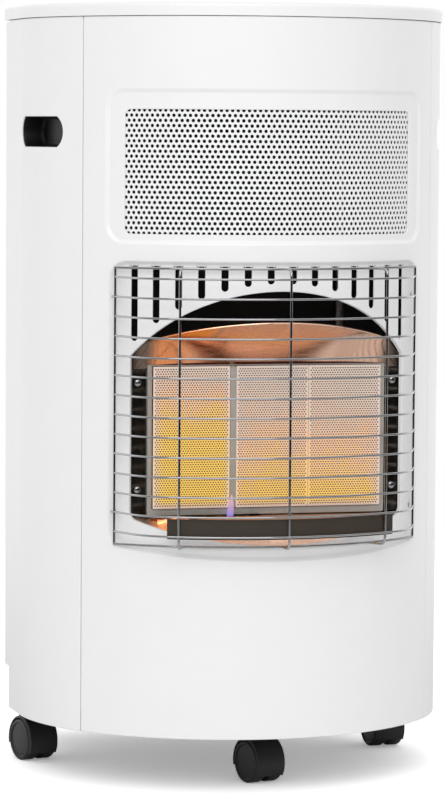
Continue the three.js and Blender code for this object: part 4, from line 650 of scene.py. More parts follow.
def finish(name, tones, roughness, metallic=0.0, mottle=30.0, grain=1.0, relief=0.02, stretch=(1, 1, 1)):
    """A procedural finish: two tones mottled at one size, and a fine grain that moves roughness and relief.

    `mottle` and `grain` are sizes in millimetres, `relief` is the grain's height in millimetres, and
    `stretch` draws the grain out along an axis, as brushing and rolling do.
    """
    made = bpy.data.materials.new(name)
    made.use_nodes = True
    tree = made.node_tree
    shader = tree.nodes["Principled BSDF"]
    shader.inputs["Metallic"].default_value = metallic
    place, _ = place_on(tree)
    drawn = add_node(tree, "ShaderNodeMapping", {"Vector": place, "Scale": stretch}).outputs["Vector"]
    shade = mixed(tree, noise(tree, place, mottle, 3.0), linear(tones[0]), linear(tones[1]))
    fine = noise(tree, drawn, grain, 4.0)
    gloss = ranged(tree, fine, 0.3, 0.7, *roughness)
    bump = add_node(tree, "ShaderNodeBump", {"Height": fine, "Distance": relief * MM, "Strength": 0.5})
    tree.links.new(shade, shader.inputs["Base Color"])
    tree.links.new(gloss, shader.inputs["Roughness"])
    tree.links.new(bump.outputs["Normal"], shader.inputs["Normal"])
    return made


FINISHES = {
    # Polyester powder coat on pressed steel: an even near-white with faint orange peel about 1.5 mm across.
    "powder_coat_white": dict(tones=("#F2F2F2", "#EFEFF0"), roughness=(0.30, 0.38), grain=1.5, relief=0.01),
    # Bright chrome on drawn steel wire: a mirror, a little softer where the drawing lines run.
    "chrome_plated_wire": dict(tones=("#B2B2B4", "#A0A0A2"), roughness=(0.05, 0.12), metallic=1.0, grain=3.0,
                               relief=0.004),
    # Polished stainless sheet, nearly a mirror, faintly rolled: its warm salmon tone is partly straw heat
    # tint and partly a painted reflection of the plaques' glow.
    "polished_stainless": dict(tones=("#E8C2AC", "#DCB098"), roughness=(0.10, 0.20), metallic=1.0,
                               mottle=40.0,
                               grain=4.0, stretch=(0.15, 1, 1), relief=0.01),
    # The same sheet beside the burner, blued and browned by heat: dark and still shiny.
    "heat_blued_stainless": dict(tones=("#8C8379", "#6E665E"), roughness=(0.08, 0.16), metallic=1.0,
                                 mottle=25.0,
                                 grain=4.0, stretch=(1, 1, 0.2), relief=0.01),
    # Satin stainless frame, brushed along its length: a broad soft sheen.
    "satin_stainless": dict(tones=("#C2BDB5", "#ABA59D"), roughness=(0.35, 0.50), metallic=0.3, mottle=12.0,
                            grain=0.8, stretch=(0.08, 1, 1), relief=0.02),
    # Stoved brown-black enamel on the heat deflector: smooth, with a soft sheen.
    "stoved_brown_enamel": dict(tones=("#3E342B", "#372E26"), roughness=(0.40, 0.44), grain=12.0, relief=0.0),
    # Galvanised sheet behind the fire, dull and near-black: painted shade for the dark inside of the heater.
    "galvanised_sheet_painted_shade": dict(tones=("#1D1B19", "#141211"), roughness=(0.6, 0.8), metallic=0.3,
                                    mottle=35.0,
                                    grain=1.5, relief=0.02),
    # Hot-dip galvanised sheet: grey spangle some 10 mm across, dull.
    "galvanised_sheet": dict(tones=("#A9ABA8", "#8D908E"), roughness=(0.38, 0.55), metallic=0.9, mottle=10.0,
                             grain=2.0, relief=0.02),
    # Bright zinc plate on small steel parts: bluish and slightly cloudy.
    "zinc_plate": dict(tones=("#B9BCC0", "#A4A7AA"), roughness=(0.25, 0.40), metallic=1.0, mottle=6.0,
                       grain=1.0),
    # Turned brass with fine tool rings.
    "turned_brass": dict(tones=("#C5A560", "#B0914E"), roughness=(0.22, 0.36), metallic=1.0, mottle=8.0,
                         grain=0.6,
                         stretch=(1, 1, 3), relief=0.01),
    # Glass-filled nylon of the castors: near-black, matt, with a spark-eroded grain.
    "moulded_nylon_black": dict(tones=("#232325", "#1B1B1D"), roughness=(0.42, 0.58), grain=0.7, relief=0.03),
    # ABS of the hand-holds and controls: black with a satin moulded grain.
    "moulded_abs_black": dict(tones=("#0F0F10", "#0A0A0B"), roughness=(0.42, 0.54), grain=0.6, relief=0.02),
    # ABS of the igniter's push button: a red satin moulding.
    "moulded_abs_red": dict(tones=("#B02A22", "#A3251E"), roughness=(0.28, 0.38), grain=0.6, relief=0.01),
    # Glazed porcelain round the spark electrode: cream and glossy.
    "glazed_porcelain": dict(tones=("#EFE9DD", "#E6DFD1"), roughness=(0.08, 0.16), grain=2.0, relief=0.004),
}


def coat(name):
    """The named finish, made once."""
    return bpy.data.materials.get(name) or finish(name, **FINISHES[name])


def stainless_with_painted_reflection():
    """The polished reflectors, with painted reflections of the fire: straw to orange over the hotter left
    chamber, a painted reflection of its brighter glow, and painted brown reflections at both ends.
    """
    name = "polished_stainless_painted_reflection"
    made = bpy.data.materials.get(name)
    if made:
        return made
    made = finish(name, **FINISHES["polished_stainless"])
    tree = made.node_tree
    shader = tree.nodes["Principled BSDF"]
    plain = shader.inputs["Base Color"].links[0].from_socket
    _, axes = place_on(tree)
    # Painted reflection: the sheet turns orange towards the left, standing in for the mirrored glow of the
    # brighter left plaques.
    warm = ranged(tree, axes["X"], GLOW_REFLECTION_BAND["full"] * MM, GLOW_REFLECTION_BAND["gone"] * MM, 1.0, 0.0)
    painted_glow_reflection = mixed(tree, warm, plain, linear("#F09A66"))
    # Painted reflection: brown at both ends, past the plaques' sides.
    edge = GLOW_REFLECTION_BAND["edge"]
    ends = ranged(tree, worked(tree, "ABSOLUTE", axes["X"]), (PLAQUE_HALF - edge) * MM,
                  (PLAQUE_HALF + edge) * MM)
    tree.links.new(mixed(tree, ends, painted_glow_reflection, linear("#6E5F54")), shader.inputs["Base Color"])
    return made


def ceramic_glow_and_painted_light():
    """Cordierite burner plaque, alight: glowing yellow-orange below, and pale between its pores above, where
    the emitted pale colour is painted light in place of lamplight.
    """
    name = "cordierite_plaque_glow_and_painted_light"
    made = bpy.data.materials.get(name)
    if made:
        return made
    made = finish(name, ("#857C74", "#756C66"), (0.85, 0.95), mottle=9.0, grain=0.5, relief=0.03)
    tree = made.node_tree
    shader = tree.nodes["Principled BSDF"]
    place, axes = place_on(tree)
    rise = ranged(tree, axes["Z"], PLAQUE_BOTTOM * MM, PLAQUE_TOP * MM)
    # The left chamber burns hotter: its glow reaches higher and fades faster.
    chamber = (axes["X"], (DIVIDER["x"] - 6) * MM, (DIVIDER["x"] + 6) * MM)
    slope = ranged(tree, *chamber, 1.5, 0.78)
    start = ranged(tree, *chamber, -0.72, 0.12)
    level = worked(tree, "MULTIPLY_ADD", rise, slope, start)
    for size, sway in ((26.0, 0.34), (3.2, 0.55)):
        level = worked(tree, "MULTIPLY_ADD", noise(tree, place, size, 1.0), sway, level)
        level = worked(tree, "SUBTRACT", level, sway / 2)
    glow = add_node(tree, "ShaderNodeValToRGB", {"Fac": level})
    ramp = glow.color_ramp
    ramp.elements[0].position, ramp.elements[0].color = 0.0, linear("#EBBB26")
    ramp.elements[1].position, ramp.elements[1].color = 1.0, linear("#B9ACA3")
    for stop, colour in ((0.22, "#E8B648"), (0.36, "#E5B376"), (0.50, "#DDAE8C"), (0.64, "#D0B19A"),
                         (0.80, "#C6B3A5")):
        ramp.elements.new(stop).color = linear(colour)
    # Painted light: the foot emits a pale lilac in place of lamplight on the cooler ceramic.
    foot = ranged(tree, axes["Z"], PLAQUE_BOTTOM * MM, (PLAQUE_BOTTOM + PALE_PAINTED_EDGE["foot"]) * MM, 0.75, 0.0)
    rim = mixed(tree, foot, glow.outputs["Color"], linear("#9C8CA4"))
    # Along each chamber's sides the ceramic stays cooler and paler; this paleness is emitted too, as painted
    # light.
    past = []
    for left, right in ((-PLAQUE_HALF, DIVIDER["x"]), (DIVIDER["x"], PLAQUE_HALF)):
        off = worked(tree, "SUBTRACT", axes["X"], (left + right) / 2 * MM)
        past.append(worked(tree, "SUBTRACT", worked(tree, "ABSOLUTE", off), (right - left) / 2 * MM))
    pale_painted_light = ranged(tree, worked(tree, "MINIMUM", *past), -PALE_PAINTED_EDGE["side"] * MM, -PALE_PAINTED_EDGE["full"] * MM, 0.0,
                  0.6)
    tree.links.new(mixed(tree, pale_painted_light, rim, linear("#CBB6B4")), shader.inputs["Emission Color"])
    # The emission carries both: real glow in the orange parts, painted light in the pale ones.
    shader.inputs["Emission Strength"].default_value = 0.95
    return made


def pore_ceramic():
    """Inside the plaque's pores: in shadow, with a dull red glow."""
    name = "cordierite_pores"
    made = bpy.data.materials.get(name)
    if made:
        return made
    made = finish(name, ("#2A1D18", "#1E1411"), (0.9, 0.95), mottle=20.0, grain=0.5)
    shader = made.node_tree.nodes["Principled BSDF"]
    shader.inputs["Emission Color"].default_value = linear("#A8401C")
    shader.inputs["Emission Strength"].default_value = 0.10
    return made


def gas_flame():
    """A pilot flame: a thin glow, blue at the jet and pink above, that hides little."""
    made = bpy.data.materials.new("gas_flame")
    made.use_nodes = True
    tree = made.node_tree
    tree.nodes.clear()
    _, axes = place_on(tree)
    rise = ranged(tree, axes["Z"], PILOT["top"] * MM, (PILOT["top"] + FLAME["blue"]) * MM)
    colour = add_node(tree, "ShaderNodeValToRGB", {"Fac": rise})
    colour.color_ramp.elements[0].color = linear("#8088F0")
    colour.color_ramp.elements[1].color = linear("#FFC4C4")
    shine = add_node(tree, "ShaderNodeEmission", {"Color": colour.outputs["Color"], "Strength": 0.9})
    edge = add_node(tree, "ShaderNodeLayerWeight", {"Blend": 0.35})
    clear = add_node(tree, "ShaderNodeBsdfTransparent")
    thin = ranged(tree, edge.outputs["Facing"], 0.0, 1.0, 0.30, 1.0)
    mix = add_node(tree, "ShaderNodeMixShader", {0: thin, 1: shine.outputs[0], 2: clear.outputs[0]})
    add_node(tree, "ShaderNodeOutputMaterial", {"Surface": mix.outputs[0]})
    return made


# ---------------------------------------------------------------- makers of the pieces


def front_panel():
    skin = Skin(CASING)
    edge = on_front(SEAM_ANGLE) - SEAM_GAP / 2
    outer = skin.rim(dense(rounded_rectangle(-edge, edge, CASING_BOTTOM, PANEL_TOP, 1.0, 2)), folded_edge(),
                     outer=True)
    half = on_front(VENT_FIELD["half_angle"])
    upper = rounded_rectangle(-half, half, VENT_FIELD["bottom"], VENT_FIELD["top"], VENT_FIELD["corner"], 8)
    vent_rim, vent_floor = skin.field(dense(upper), pressed_edge(VENT_FIELD))
    fire_rim, fire_floor = skin.field(dense(fire_field_outline()), pressed_edge(FIRE_FIELD))
    skin.fill(outer, [vent_rim, fire_rim], 0, SHEET)
    half, sunk = on_front(VENT["half_angle"]), VENT_FIELD["depth"]
    window = dense(rounded_rectangle(-half, half, VENT["bottom"], VENT["top"], VENT["corner"]))
    skin.fill(vent_floor, [skin.rim(window, cut_edge(0.7), base=sunk)], sunk, sunk + SHEET)
    sunk = FIRE_FIELD["depth"]
    turned = [*cut_edge(1.2, SHEET + 2.5)[:-1], (0, SHEET + 2.5, -90, 180), (SHEET, SHEET + 2.5, 180, 90),
              (SHEET, SHEET, 90, 180)]
    holes = [skin.rim(dense(opening_outline()), turned, base=sunk)]
    for i in range(SLOT["pairs"]):
        for side in (-1, 1):
            outline = dense(slot_outline(side * SLOT["step"] * (i + 0.5)))
            holes.append(skin.rim(outline, cut_edge(0.5), base=sunk))
    reach = on_front(math.degrees(math.atan2(*guard_end())))
    for row in (1, GUARD["rows"] - 2):
        height = GUARD["top"] - row * GUARD["pitch"]
        for side in (-1, 1):
            holes.append(skin.rim(arc(side * (reach + 3.5), height, 2.2, 0, 330, 11), cut_edge(0.3),
                                  base=sunk))
    skin.fill(fire_floor, holes, sunk, sunk + SHEET)
    return skin


def side_panel(side):
    skin = Skin(CASING)
    start = on_front(SEAM_ANGLE) + SEAM_GAP / 2
    corner = CASING.middle - REAR_RETURN + REAR_BEND * (1 - math.pi / 4)
    step, end = corner - SIDE_NOTCH["width"], CASING.middle
    outline = [(start, CASING_BOTTOM), (step, CASING_BOTTOM), (step, SIDE_NOTCH["top"]),
               (end, SIDE_NOTCH["top"]),
               (end, PANEL_TOP - SIDE_NOTCH["lid"]), (step, PANEL_TOP - SIDE_NOTCH["lid"]), (step, PANEL_TOP),
               (start, PANEL_TOP)]
    if side < 0:
        outline = [(-x, y) for x, y in reversed(outline)]
    outer = skin.rim(dense(outline, 2.5), folded_edge(0.9, 2.4), outer=True)
    skin.fill(outer, [skin.rim(dense(grip_outline(side)), cut_edge(0.9))], 0, SHEET, columns=3.0)
    return skin


def hand_grip(side):
    """A moulded cup behind the panel's cut-out."""
    skin = Skin(CASING, 1.5)
    deep, start = GRIP["depth"], SHEET + CLEARANCE
    wall = [(5.0, start, 0), (0.4, start, 0, -45), (-0.6, start + 1.0, -90)]
    bowl = [(-0.6 - 4 * (1 - cos(a)), deep - 4 * (1 - sin(a)), a - 90) for a in (0, 22.5, 45, 67.5, 90)]
    rim, floor = skin.field(dense(grip_outline(side)), wall + bowl)
    skin.fill(floor, [], deep, deep + 1.5)
    skin.band(rim[0], rim[1], (90, 90), flip=True)
    return skin


def plan_outline():
    """The casing's outline in plan, closed across the rear."""
    steps = int(2 * CASING.middle / CURVE_STEP * 4)
    walk = [CASING.at(-CASING.middle + 2 * CASING.middle * i / steps)[0] for i in range(steps + 1)]
    return dense([(p.x, p.y) for p in walk])


def top_lid():
    skin = Skin(facing_up(HEIGHT))
    deep = HEIGHT - LID_SEAM
    turn = [(LID_OVERHANG - 4 * (1 - sin(a)), 4 * (1 - cos(a)), a) for a in (0, 15, 30, 45, 60, 75, 90)]
    stations = [*turn, (LID_OVERHANG, deep, 90, 180), (LID_OVERHANG - SHEET, deep, 180, 270),
                (LID_OVERHANG - SHEET, SHEET, 270, 180)]
    outer = skin.rim(plan_outline(), stations, outer=True)
    well = dense(rounded_rectangle(WELL["left"], WELL["right"], WELL["front"], WELL["rear"], WELL["corner"]))
    down = [(2 * (1 - sin(a)), 2 * (1 - cos(a)), -a) for a in (0, 30, 60, 90)]
    foot = [(-2 * (1 - cos(a)), WELL["depth"] - 2 * (1 - sin(a)), a - 90) for a in (0, 30, 60, 90)]
    rim, floor = skin.field(well, down + foot)
    skin.fill(outer, [rim], 0, SHEET, columns=20.0)
    holes = [skin.rim(arc(x, 0, radius, 0, 345, 23), cut_edge(0.3), base=WELL["depth"])
             for x, radius in ((KNOB["x"], 8.0), (IGNITER["x"], 11.3))]
    skin.fill(floor, holes, WELL["depth"], WELL["depth"] + SHEET, columns=20.0)
    return skin


def rear_cover():
    skin = Skin(REAR_PLAN)
    end = REAR_PLAN.middle
    outer = skin.rim(dense(rounded_rectangle(-end, end, COVER["bottom"], COVER["top"], 3.0), 4.0),
                     folded_edge(0.9, 2.4), outer=True)
    holes = []
    for row in range(LOUVRE["rows"]):
        for column in range(LOUVRE["columns"]):
            middle = (column - (LOUVRE["columns"] - 1) / 2) * LOUVRE["spread"]
            top, half = LOUVRE["top"] - row * LOUVRE["pitch"], LOUVRE["length"] / 2
            slot = rounded_rectangle(middle - half, middle + half, top - LOUVRE["height"], top, 3.4)
            holes.append(skin.rim(dense(slot), cut_edge(0.6)))
    skin.fill(outer, holes, 0, SHEET, columns=3.2)
    return skin


def rear_rail():
    low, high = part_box("rear_rail")
    skin = Skin(Flat((0, COVER_FACE, 0), (-1, 0, 0), (0, 0, 1)))
    half, bottom, top = high.x / MM, low.z / MM, high.z / MM
    outer = skin.rim(dense(rounded_rectangle(-half, half, bottom, top, 2.0, 3), 20), folded_edge(0.9, 2.4),
                     outer=True)
    holes = []
    for i in range(RAIL_SLOT["count"]):
        x, middle = (i - (RAIL_SLOT["count"] - 1) / 2) * RAIL_SLOT["pitch"], (bottom + top) / 2
        half, rise = RAIL_SLOT["width"] / 2, RAIL_SLOT["height"] / 2
        holes.append(skin.rim(rounded_rectangle(x - half, x + half, middle - rise, middle + rise, 3.9),
                              cut_edge(0.5)))
    skin.fill(outer, holes, 0, SHEET, columns=20.0)
    return skin


def honeycomb(skin, left, right, bottom, top, pitch, hole, sides, depths, snap=False):
    """Hexagonal cells, each with a hole of 6 or 12 `sides`. With `snap` the field gets straight sides."""
    front, back = depths
    count = int((right - left) / pitch - 0.5)
    pitch = (right - left) / (count + 0.5)
    corner = pitch / math.sqrt(3)
    rows = int((top - bottom - corner / 2) / (1.5 * corner))
    rise = (top - bottom - 0.5 * corner) / rows
    known = {}

    def shared(x, y):
        key = (round(x * 50), round(y * 50))
        if key not in known:
            if snap:
                x = left if x < left + pitch * 0.6 else right if x > right - pitch * 0.6 else x
                y = bottom if y < bottom + corner * 0.7 else top if y > top - corner * 0.7 else y
            known[key] = (skin.point(x, y, front), None if snap else skin.point(x, y, back))
        return known[key]

    for row in range(rows):
        y = bottom + corner + row * rise
        for column in range(count):
            x = left + (column + (1 + row % 2) / 2) * pitch
            turns = [30 + 360 * i / sides for i in range(sides)]
            reach = [corner if i % (sides // 6) == 0 else pitch / 2 for i in range(sides)]
            edge = [shared(x + r * cos(t), y + r * sin(t) * rise / (1.5 * corner)) for r,
                    t in zip(reach, turns)]
            mouth = [skin.point(x + hole * cos(t), y + hole * sin(t), front) for t in turns]
            foot = [skin.point(x + hole * cos(t), y + hole * sin(t), back) for t in turns]
            _, out, across, up = skin.surface.lay(x, y, front)
            into = [Vector(across) * -cos(t) - Vector(up) * sin(t) for t in turns]
            under = tuple(-v for v in out)
            for i in range(sides):
                k = (i + 1) % sides
                skin.faces += [[edge[i][0], edge[k][0], mouth[k], mouth[i]],
                               [mouth[i], mouth[k], foot[k], foot[i]]]
                skin.normals += [out] * 4 + [into[i], into[k], into[k], into[i]]
                if not snap:
                    skin.faces.append([foot[i], foot[k], edge[k][1], edge[i][1]])
                    skin.normals += [under] * 4
            if snap:
                skin.faces.append(foot)
                skin.normals += [out] * sides
    return skin


def vent_mesh(pitch, hole):
    half, margin = on_front(VENT["half_angle"]), 7.0
    start = VENT_FIELD["depth"] + SHEET + CLEARANCE
    return honeycomb(Skin(CASING), -half - margin, half + margin, VENT["bottom"] - margin,
                     VENT["top"] + margin,
                     pitch, hole / 2, 12, (start, start + 0.8))


def plaque(left, right, pitch, pore):
    """One perforated plaque: blind pores in its face, and a plain block behind."""
    edge = PLAQUE_MARGIN
    skin = honeycomb(Skin(facing_front(PLAQUE_FACE)), left + edge, right - edge, PLAQUE_BOTTOM + edge,
                     PLAQUE_TOP - edge, pitch, pore / 2, 6, (0.0, 2.5), snap=True)
    corners = [(left, PLAQUE_BOTTOM), (right, PLAQUE_BOTTOM), (right, PLAQUE_TOP), (left, PLAQUE_TOP)]
    ways = [(1, 1), (-1, 1), (-1, -1), (1, -1)]
    face = [skin.point(x, y, 0) for x, y in corners]
    inner = [skin.point(x + a * edge, y + b * edge, 0) for (x, y), (a, b) in zip(corners, ways)]
    back = [skin.point(x, y, PLAQUE_DEPTH) for x, y in corners]
    sides = [(0, 0, -1), (1, 0, 0), (0, 0, 1), (-1, 0, 0)]
    for i in range(4):
        k = (i + 1) % 4
        skin.faces += [[face[i], back[i], back[k], face[k]], [face[i], face[k], inner[k], inner[i]]]
        skin.normals += [sides[i]] * 4 + [(0, -1, 0)] * 4
    skin.faces.append(back[::-1])
    skin.normals += [(0, 1, 0)] * 4
    return skin


def plate(surface, outline, thickness, radius, holes=()):
    """A flat plate with rounded face edges and plain holes."""
    skin = Skin(surface, thickness)
    turn = [(-radius * (1 - sin(a)), radius * (1 - cos(a)), a) for a in (0, 30, 60, 90)]
    outer = skin.rim(outline, [*turn, (0, thickness, 90, 180)], outer=True)
    inner = [skin.rim(hole, cut_edge(radius * 0.6, thickness)) for hole in holes]
    skin.fill(outer, inner, 0, thickness, columns=60.0, rows=60.0)
    return skin


def reflector_front(x):
    """A point on the reflectors' front edge in plan, and its distance along the front."""
    y = max(math.sqrt(HOOD["radius"] ** 2 - x * x), SIDE_PLATE["face"] + 0.6)
    return y, math.asin(x / HOOD["radius"]) * FRONT_RADIUS


def reflector_hood():
    """The hood over the plaques: a sheet from the frame up to the arch, hollow towards the fire."""
    rows = []
    stations = [SIDE_PLATE["outer"] * (-1 + i / 40) for i in range(81)]
    for j in range(13):
        t = j / 12
        row = []
        for x in stations:
            wing = min(1.0, max(0.0, (abs(x) - FRAME_HALF + 1.5) / 3))
            front, s = reflector_front(x)
            rear = FRAME_FACE - wing * (FRAME_FACE - SIDE_PLATE["face"] - CLEARANCE)
            low = HOOD["rear"] - wing * HOOD["wing_drop"]
            high = HOOD["apex"] - HOOD["arch"] + math.sqrt(HOOD["arch"] ** 2 - s * s)
            hollow = 3.0 * 4 * t * (1 - t) * (1 - wing)
            row.append((x, -(rear + (front - rear) * t), low + (high - low) * t + hollow))
        rows.append(row)
    mould = Mould().thick_grid(rows, (0, 0, TRIM))
    lip = [(x, y - 0.1, z + TRIM / 2) for x, y, z in rows[-1]]
    return mould.swept(lip, 0.9, 8)


def base_reflector():
    """The sheet from under the plaques down to the opening's lower edge, with the pilot's window."""
    rear_z = FRAME_BOTTOM - CLEARANCE - TRIM
    rows = []
    stations = sorted({*[SIDE_PLATE["outer"] * (-1 + i / 36) for i in range(73)], -107.0, -106.8, -7.2, -7.0})
    for j in range(11):
        t = j / 10
        row = []
        for x in stations:
            front, s = reflector_front(x)
            low = min(OPENING["lowest"] + OPENING["sag"] - math.sqrt(OPENING["sag"] ** 2 - s * s) - 3,
                      rear_z - 1.5)
            window = 15.0 if -107 < x < -7 else 0.0
            rear = SIDE_PLATE["face"] - TRIM + window * (1 - t)
            row.append((x, -(rear + (front - rear) * t), rear_z + (low - rear_z) * t * t))
        rows.append(row)
    return Mould().thick_grid(rows, (0, 0, TRIM))


def side_reflector(side):
    left, right = sorted((side * (FRAME_HALF + CLEARANCE), side * SIDE_PLATE["outer"]))
    drop = HOOD["rear"] - HOOD["wing_drop"] - CLEARANCE
    near, far = (HOOD["rear"] - CLEARANCE - 0.3, drop)
    top = [(right, far if side > 0 else near), (left, near if side > 0 else far)]
    outline = [(left, FRAME_BOTTOM + 1), (right, FRAME_BOTTOM + 1), *top]
    holes = [arc(side * SCREWS["x"], SCREWS[z], 1.8, 0, 330, 11) for z in ("upper", "lower")]
    return plate(facing_front(SIDE_PLATE["face"]), outline, TRIM, 0.3, holes)


def screw(side, z):
    """A pan-head screw: a domed head with a shallow round recess, and its shank."""
    mould = Mould()
    face = -SIDE_PLATE["face"] - CLEARANCE / 2
    dome = [(face - 1.9, 0.8), (face - 1.8, 1.6), (face - 1.5, 2.5), (face - 0.9, 3.2), (face, 3.5),
            (face, 1.5),
            (face + 8.5, 1.5), (face + 8.5, 0)]
    place = along("y", (side * SCREWS["x"], 0, z))
    mould.turned([(face - 1.0, 0), (face - 1.0, 0.5), *dome], place, 24)
    return mould


def guard_end():
    """The end of a guard wire, on the right: across, and ahead of the arc's middle."""
    reach = GUARD_RADIUS - GUARD["bend"]
    x = reach * sin(GUARD["bend_angle"]) + GUARD["bend"] * sin(GUARD["end_angle"])
    y = reach * cos(GUARD["bend_angle"]) + GUARD["bend"] * cos(GUARD["end_angle"])
    return x + GUARD["end_run"] * cos(GUARD["end_angle"]), y - GUARD["end_run"] * sin(GUARD["end_angle"])


def guard_row(z, extra):
    """One horizontal wire: a shallow front, a tighter bend at each side and a straight run back."""
    reach = GUARD_RADIUS - GUARD["bend"]
    cx, cy = reach * sin(GUARD["bend_angle"]), reach * cos(GUARD["bend_angle"])
    half = arc(0, 0, GUARD_RADIUS, 90, 90 - GUARD["bend_angle"], 14)
    half += arc(cx, cy, GUARD["bend"], 90 - GUARD["bend_angle"], 90 - GUARD["end_angle"], 12)[1:]
    x, y = guard_end()
    half.append((x + extra * cos(GUARD["end_angle"]), y - extra * sin(GUARD["end_angle"])))
    plan = [(-x, y) for x, y in reversed(half[1:])] + half
    return [(x, -y, z) for x, y in plan]


def rounded_line(corners, radius, steps=6):
    """A line through corners, each one but the ends rounded."""
    corners = [Vector(c) for c in corners]
    points = [corners[0]]
    for before, corner, after in zip(corners, corners[1:], corners[2:]):
        into, out = (corner - before).normalized(), (after - corner).normalized()
        cut = radius * math.tan(into.angle(out) / 2)
        start, end = corner - into * cut, corner + out * cut
        points += [start.lerp(corner, t).lerp(corner.lerp(end, t),
                                              t) for t in [i / steps for i in range(steps + 1)]]
    return [*points, corners[-1]]


def wire_guard():
    mould = Mould()
    x, y = guard_end()
    frame_radius = math.hypot(x, y) + 0.5
    high, low = GUARD["top"] + 8.6, GUARD["top"] - (GUARD["rows"] - 1) * GUARD["pitch"] - 11.5
    thick = GUARD["upright"] / 2
    half = math.degrees(math.asin(x / frame_radius))
    for z in (high, low):
        mould.swept([(a, -b, z) for a, b in arc(0, 0, frame_radius, 90 + half, 90 - half, 40)], thick)
    for side in (-1, 1):
        mould.swept([(side * x, -y, low - 1), (side * x, -y, high + 1)], thick)
    inner = GUARD_RADIUS - (WIRE + GUARD["upright"]) / 2 + CLEARANCE
    for angle in (-GUARD["upright_angle"], 0, GUARD["upright_angle"]):
        plan = [(frame_radius, high), (inner, high), (inner, low), (frame_radius, low)]
        mould.swept(rounded_line([(r * sin(angle), -r * cos(angle), z) for r, z in plan], 7), thick)
    for row in range(GUARD["rows"]):
        prong = GUARD["prong"] if row in (1, GUARD["rows"] - 2) else 1.0
        mould.swept(guard_row(GUARD["top"] - row * GUARD["pitch"], prong), WIRE / 2)
    return mould


def guard_deflector():
    """The dark strip inside the lower wires, its edges rounded on the face."""
    inner = GUARD_RADIUS - (WIRE + GUARD["upright"]) / 2 + CLEARANCE - GUARD["upright"] / 2 - CLEARANCE
    half = DEFLECTOR["half_angle"]
    rolled = Rolled((-inner * sin(half), -inner * cos(half)), -half, [(inner, 2 * half)])
    reach = rolled.middle
    outline = dense(rounded_rectangle(-reach, reach, DEFLECTOR["bottom"], DEFLECTOR["top"], 1.0, 3), 4.0)
    skin = Skin(rolled, 1.0)
    outer = skin.rim(outline, [(-0.5, 0, 0), (-0.15, 0.15, 45), (0, 0.5, 90), (0, 1.0, 90, 180)], outer=True)
    skin.fill(outer, [], 0, 1.0, columns=4.0, rows=6.0)
    return skin


def pilot_burner():
    mould = Mould()
    x, y, shelf, top = PILOT["x"], PILOT["y"], PILOT["shelf"], PILOT["top"]
    mould.turned([(shelf - 12, 0), (shelf - 12, 3.5), (top - 4.5, 3.5), (top - 4, 5), (top - 1.5, 5),
                  (top - 1, 3.2),
                  (top, 3), (top, 1.4), (top - 2, 1.2), (top - 2, 0)], along("z", (x, y, 0)), 20)
    return mould


def thermocouple():
    x, y, shelf, top = PILOT["x"] + PILOT["spread"], PILOT["y"], PILOT["shelf"], PILOT["top"]
    return Mould().turned([(shelf - 14, 0), (shelf - 14, 2.5), (shelf + 8, 2.5), (shelf + 8.6, 2),
                           (top + 3, 2),
                           (top + 4, 1.2), (top + 4, 0)], along("z", (x, y, 0)), 20)


def spark_electrode():
    x, y, shelf, top = PILOT["x"] - PILOT["spread"], PILOT["y"], PILOT["shelf"], PILOT["top"]
    mould = Mould().turned([(shelf - 14, 0), (shelf - 14, 2.5), (top - 3, 2.5), (top - 2, 1.8), (top - 2, 0)],
                           along("z", (x, y, 0)), 20)
    tip = [(x, y, top - 5), (x, y, top + 2), (x + PILOT["spread"] - 6, y, top + 2)]
    return mould.swept(rounded_line(tip, 2), 0.8, 8)


def pilot_flame():
    """A small flame that leans from the jet towards the plaques."""
    x, y, top = PILOT["x"], PILOT["y"], PILOT["top"]
    rows = []
    for i in range(9):
        t = i / 8
        radius = FLAME["radius"] * math.sqrt(max(0.0, 1 - t)) * (0.55 + 0.9 * t * (1 - t))
        centre = Vector((x + 2.5 * t, y + 1.5 * t, top + 0.5 + FLAME["height"] * t))
        rows.append([centre + Vector((radius * cos(30 * k), radius * 0.7 * sin(30 * k),
                                      0)) for k in range(12)])
    mould = Mould()
    mould.grid(rows, closed=True)
    return mould


def control_bezel():
    grown = CLEARANCE
    outline = rounded_rectangle(WELL["left"] + grown, WELL["right"] - grown, WELL["front"] + grown,
                                WELL["rear"] - grown, WELL["corner"] - grown)
    holes = [arc(KNOB["x"], 0, 8.0, 0, 345, 23), arc(IGNITER["x"], 0, IGNITER["radius"] + 2.5, 0, 345, 23)]
    return plate(facing_up(BEZEL_TOP), outline, 3.0, 0.8, holes)


def control_knob():
    """A fluted knob with a raised pointer and a dished top."""
    mould = Mould()
    bottom = BEZEL_TOP + KNOB["travel"] + 0.5
    top, radius = bottom + KNOB["height"], KNOB["radius"]
    profile = [(bottom, 4.4, 0), (bottom, radius - 1, 0), (bottom + 1, radius, 0), (bottom + 3, radius, 0),
               (bottom + 3.6, radius - 0.6, 1), (top - 3, radius - 1.4, 1), (top - 1, radius - 2.4, 0.5),
               (top, radius - 4, 0), (top - 0.6, radius - 7, 0), (top - 0.8, 0.01, 0)]
    rows = []
    for z, reach, fluted in profile:
        row = []
        for i in range(144):
            angle = 360 * i / 144
            flute = 0.9 * fluted * max(0.0, cos(angle * 18)) ** 2
            row.append((KNOB["x"] + (reach - flute) * cos(angle), (reach - flute) * sin(angle), z))
        rows.append(row)
    numbers = mould.grid(rows, closed=True)
    mould.faces += [numbers[0][::-1], numbers[-1]]
    pointer = [(KNOB["x"] - 1.5, -radius + 4), (KNOB["x"] + 1.5, -radius + 4), (KNOB["x"] + 1.5, -1),
               (KNOB["x"] - 1.5, -1)]
    low = mould.add([(x, y, top - 1.0) for x, y in pointer])
    high = mould.add([(x, y, top + 0.9) for x, y in pointer])
    mould.faces += [[low[i], low[(i + 1) % 4], high[(i + 1) % 4], high[i]] for i in range(4)] + [high]
    return mould


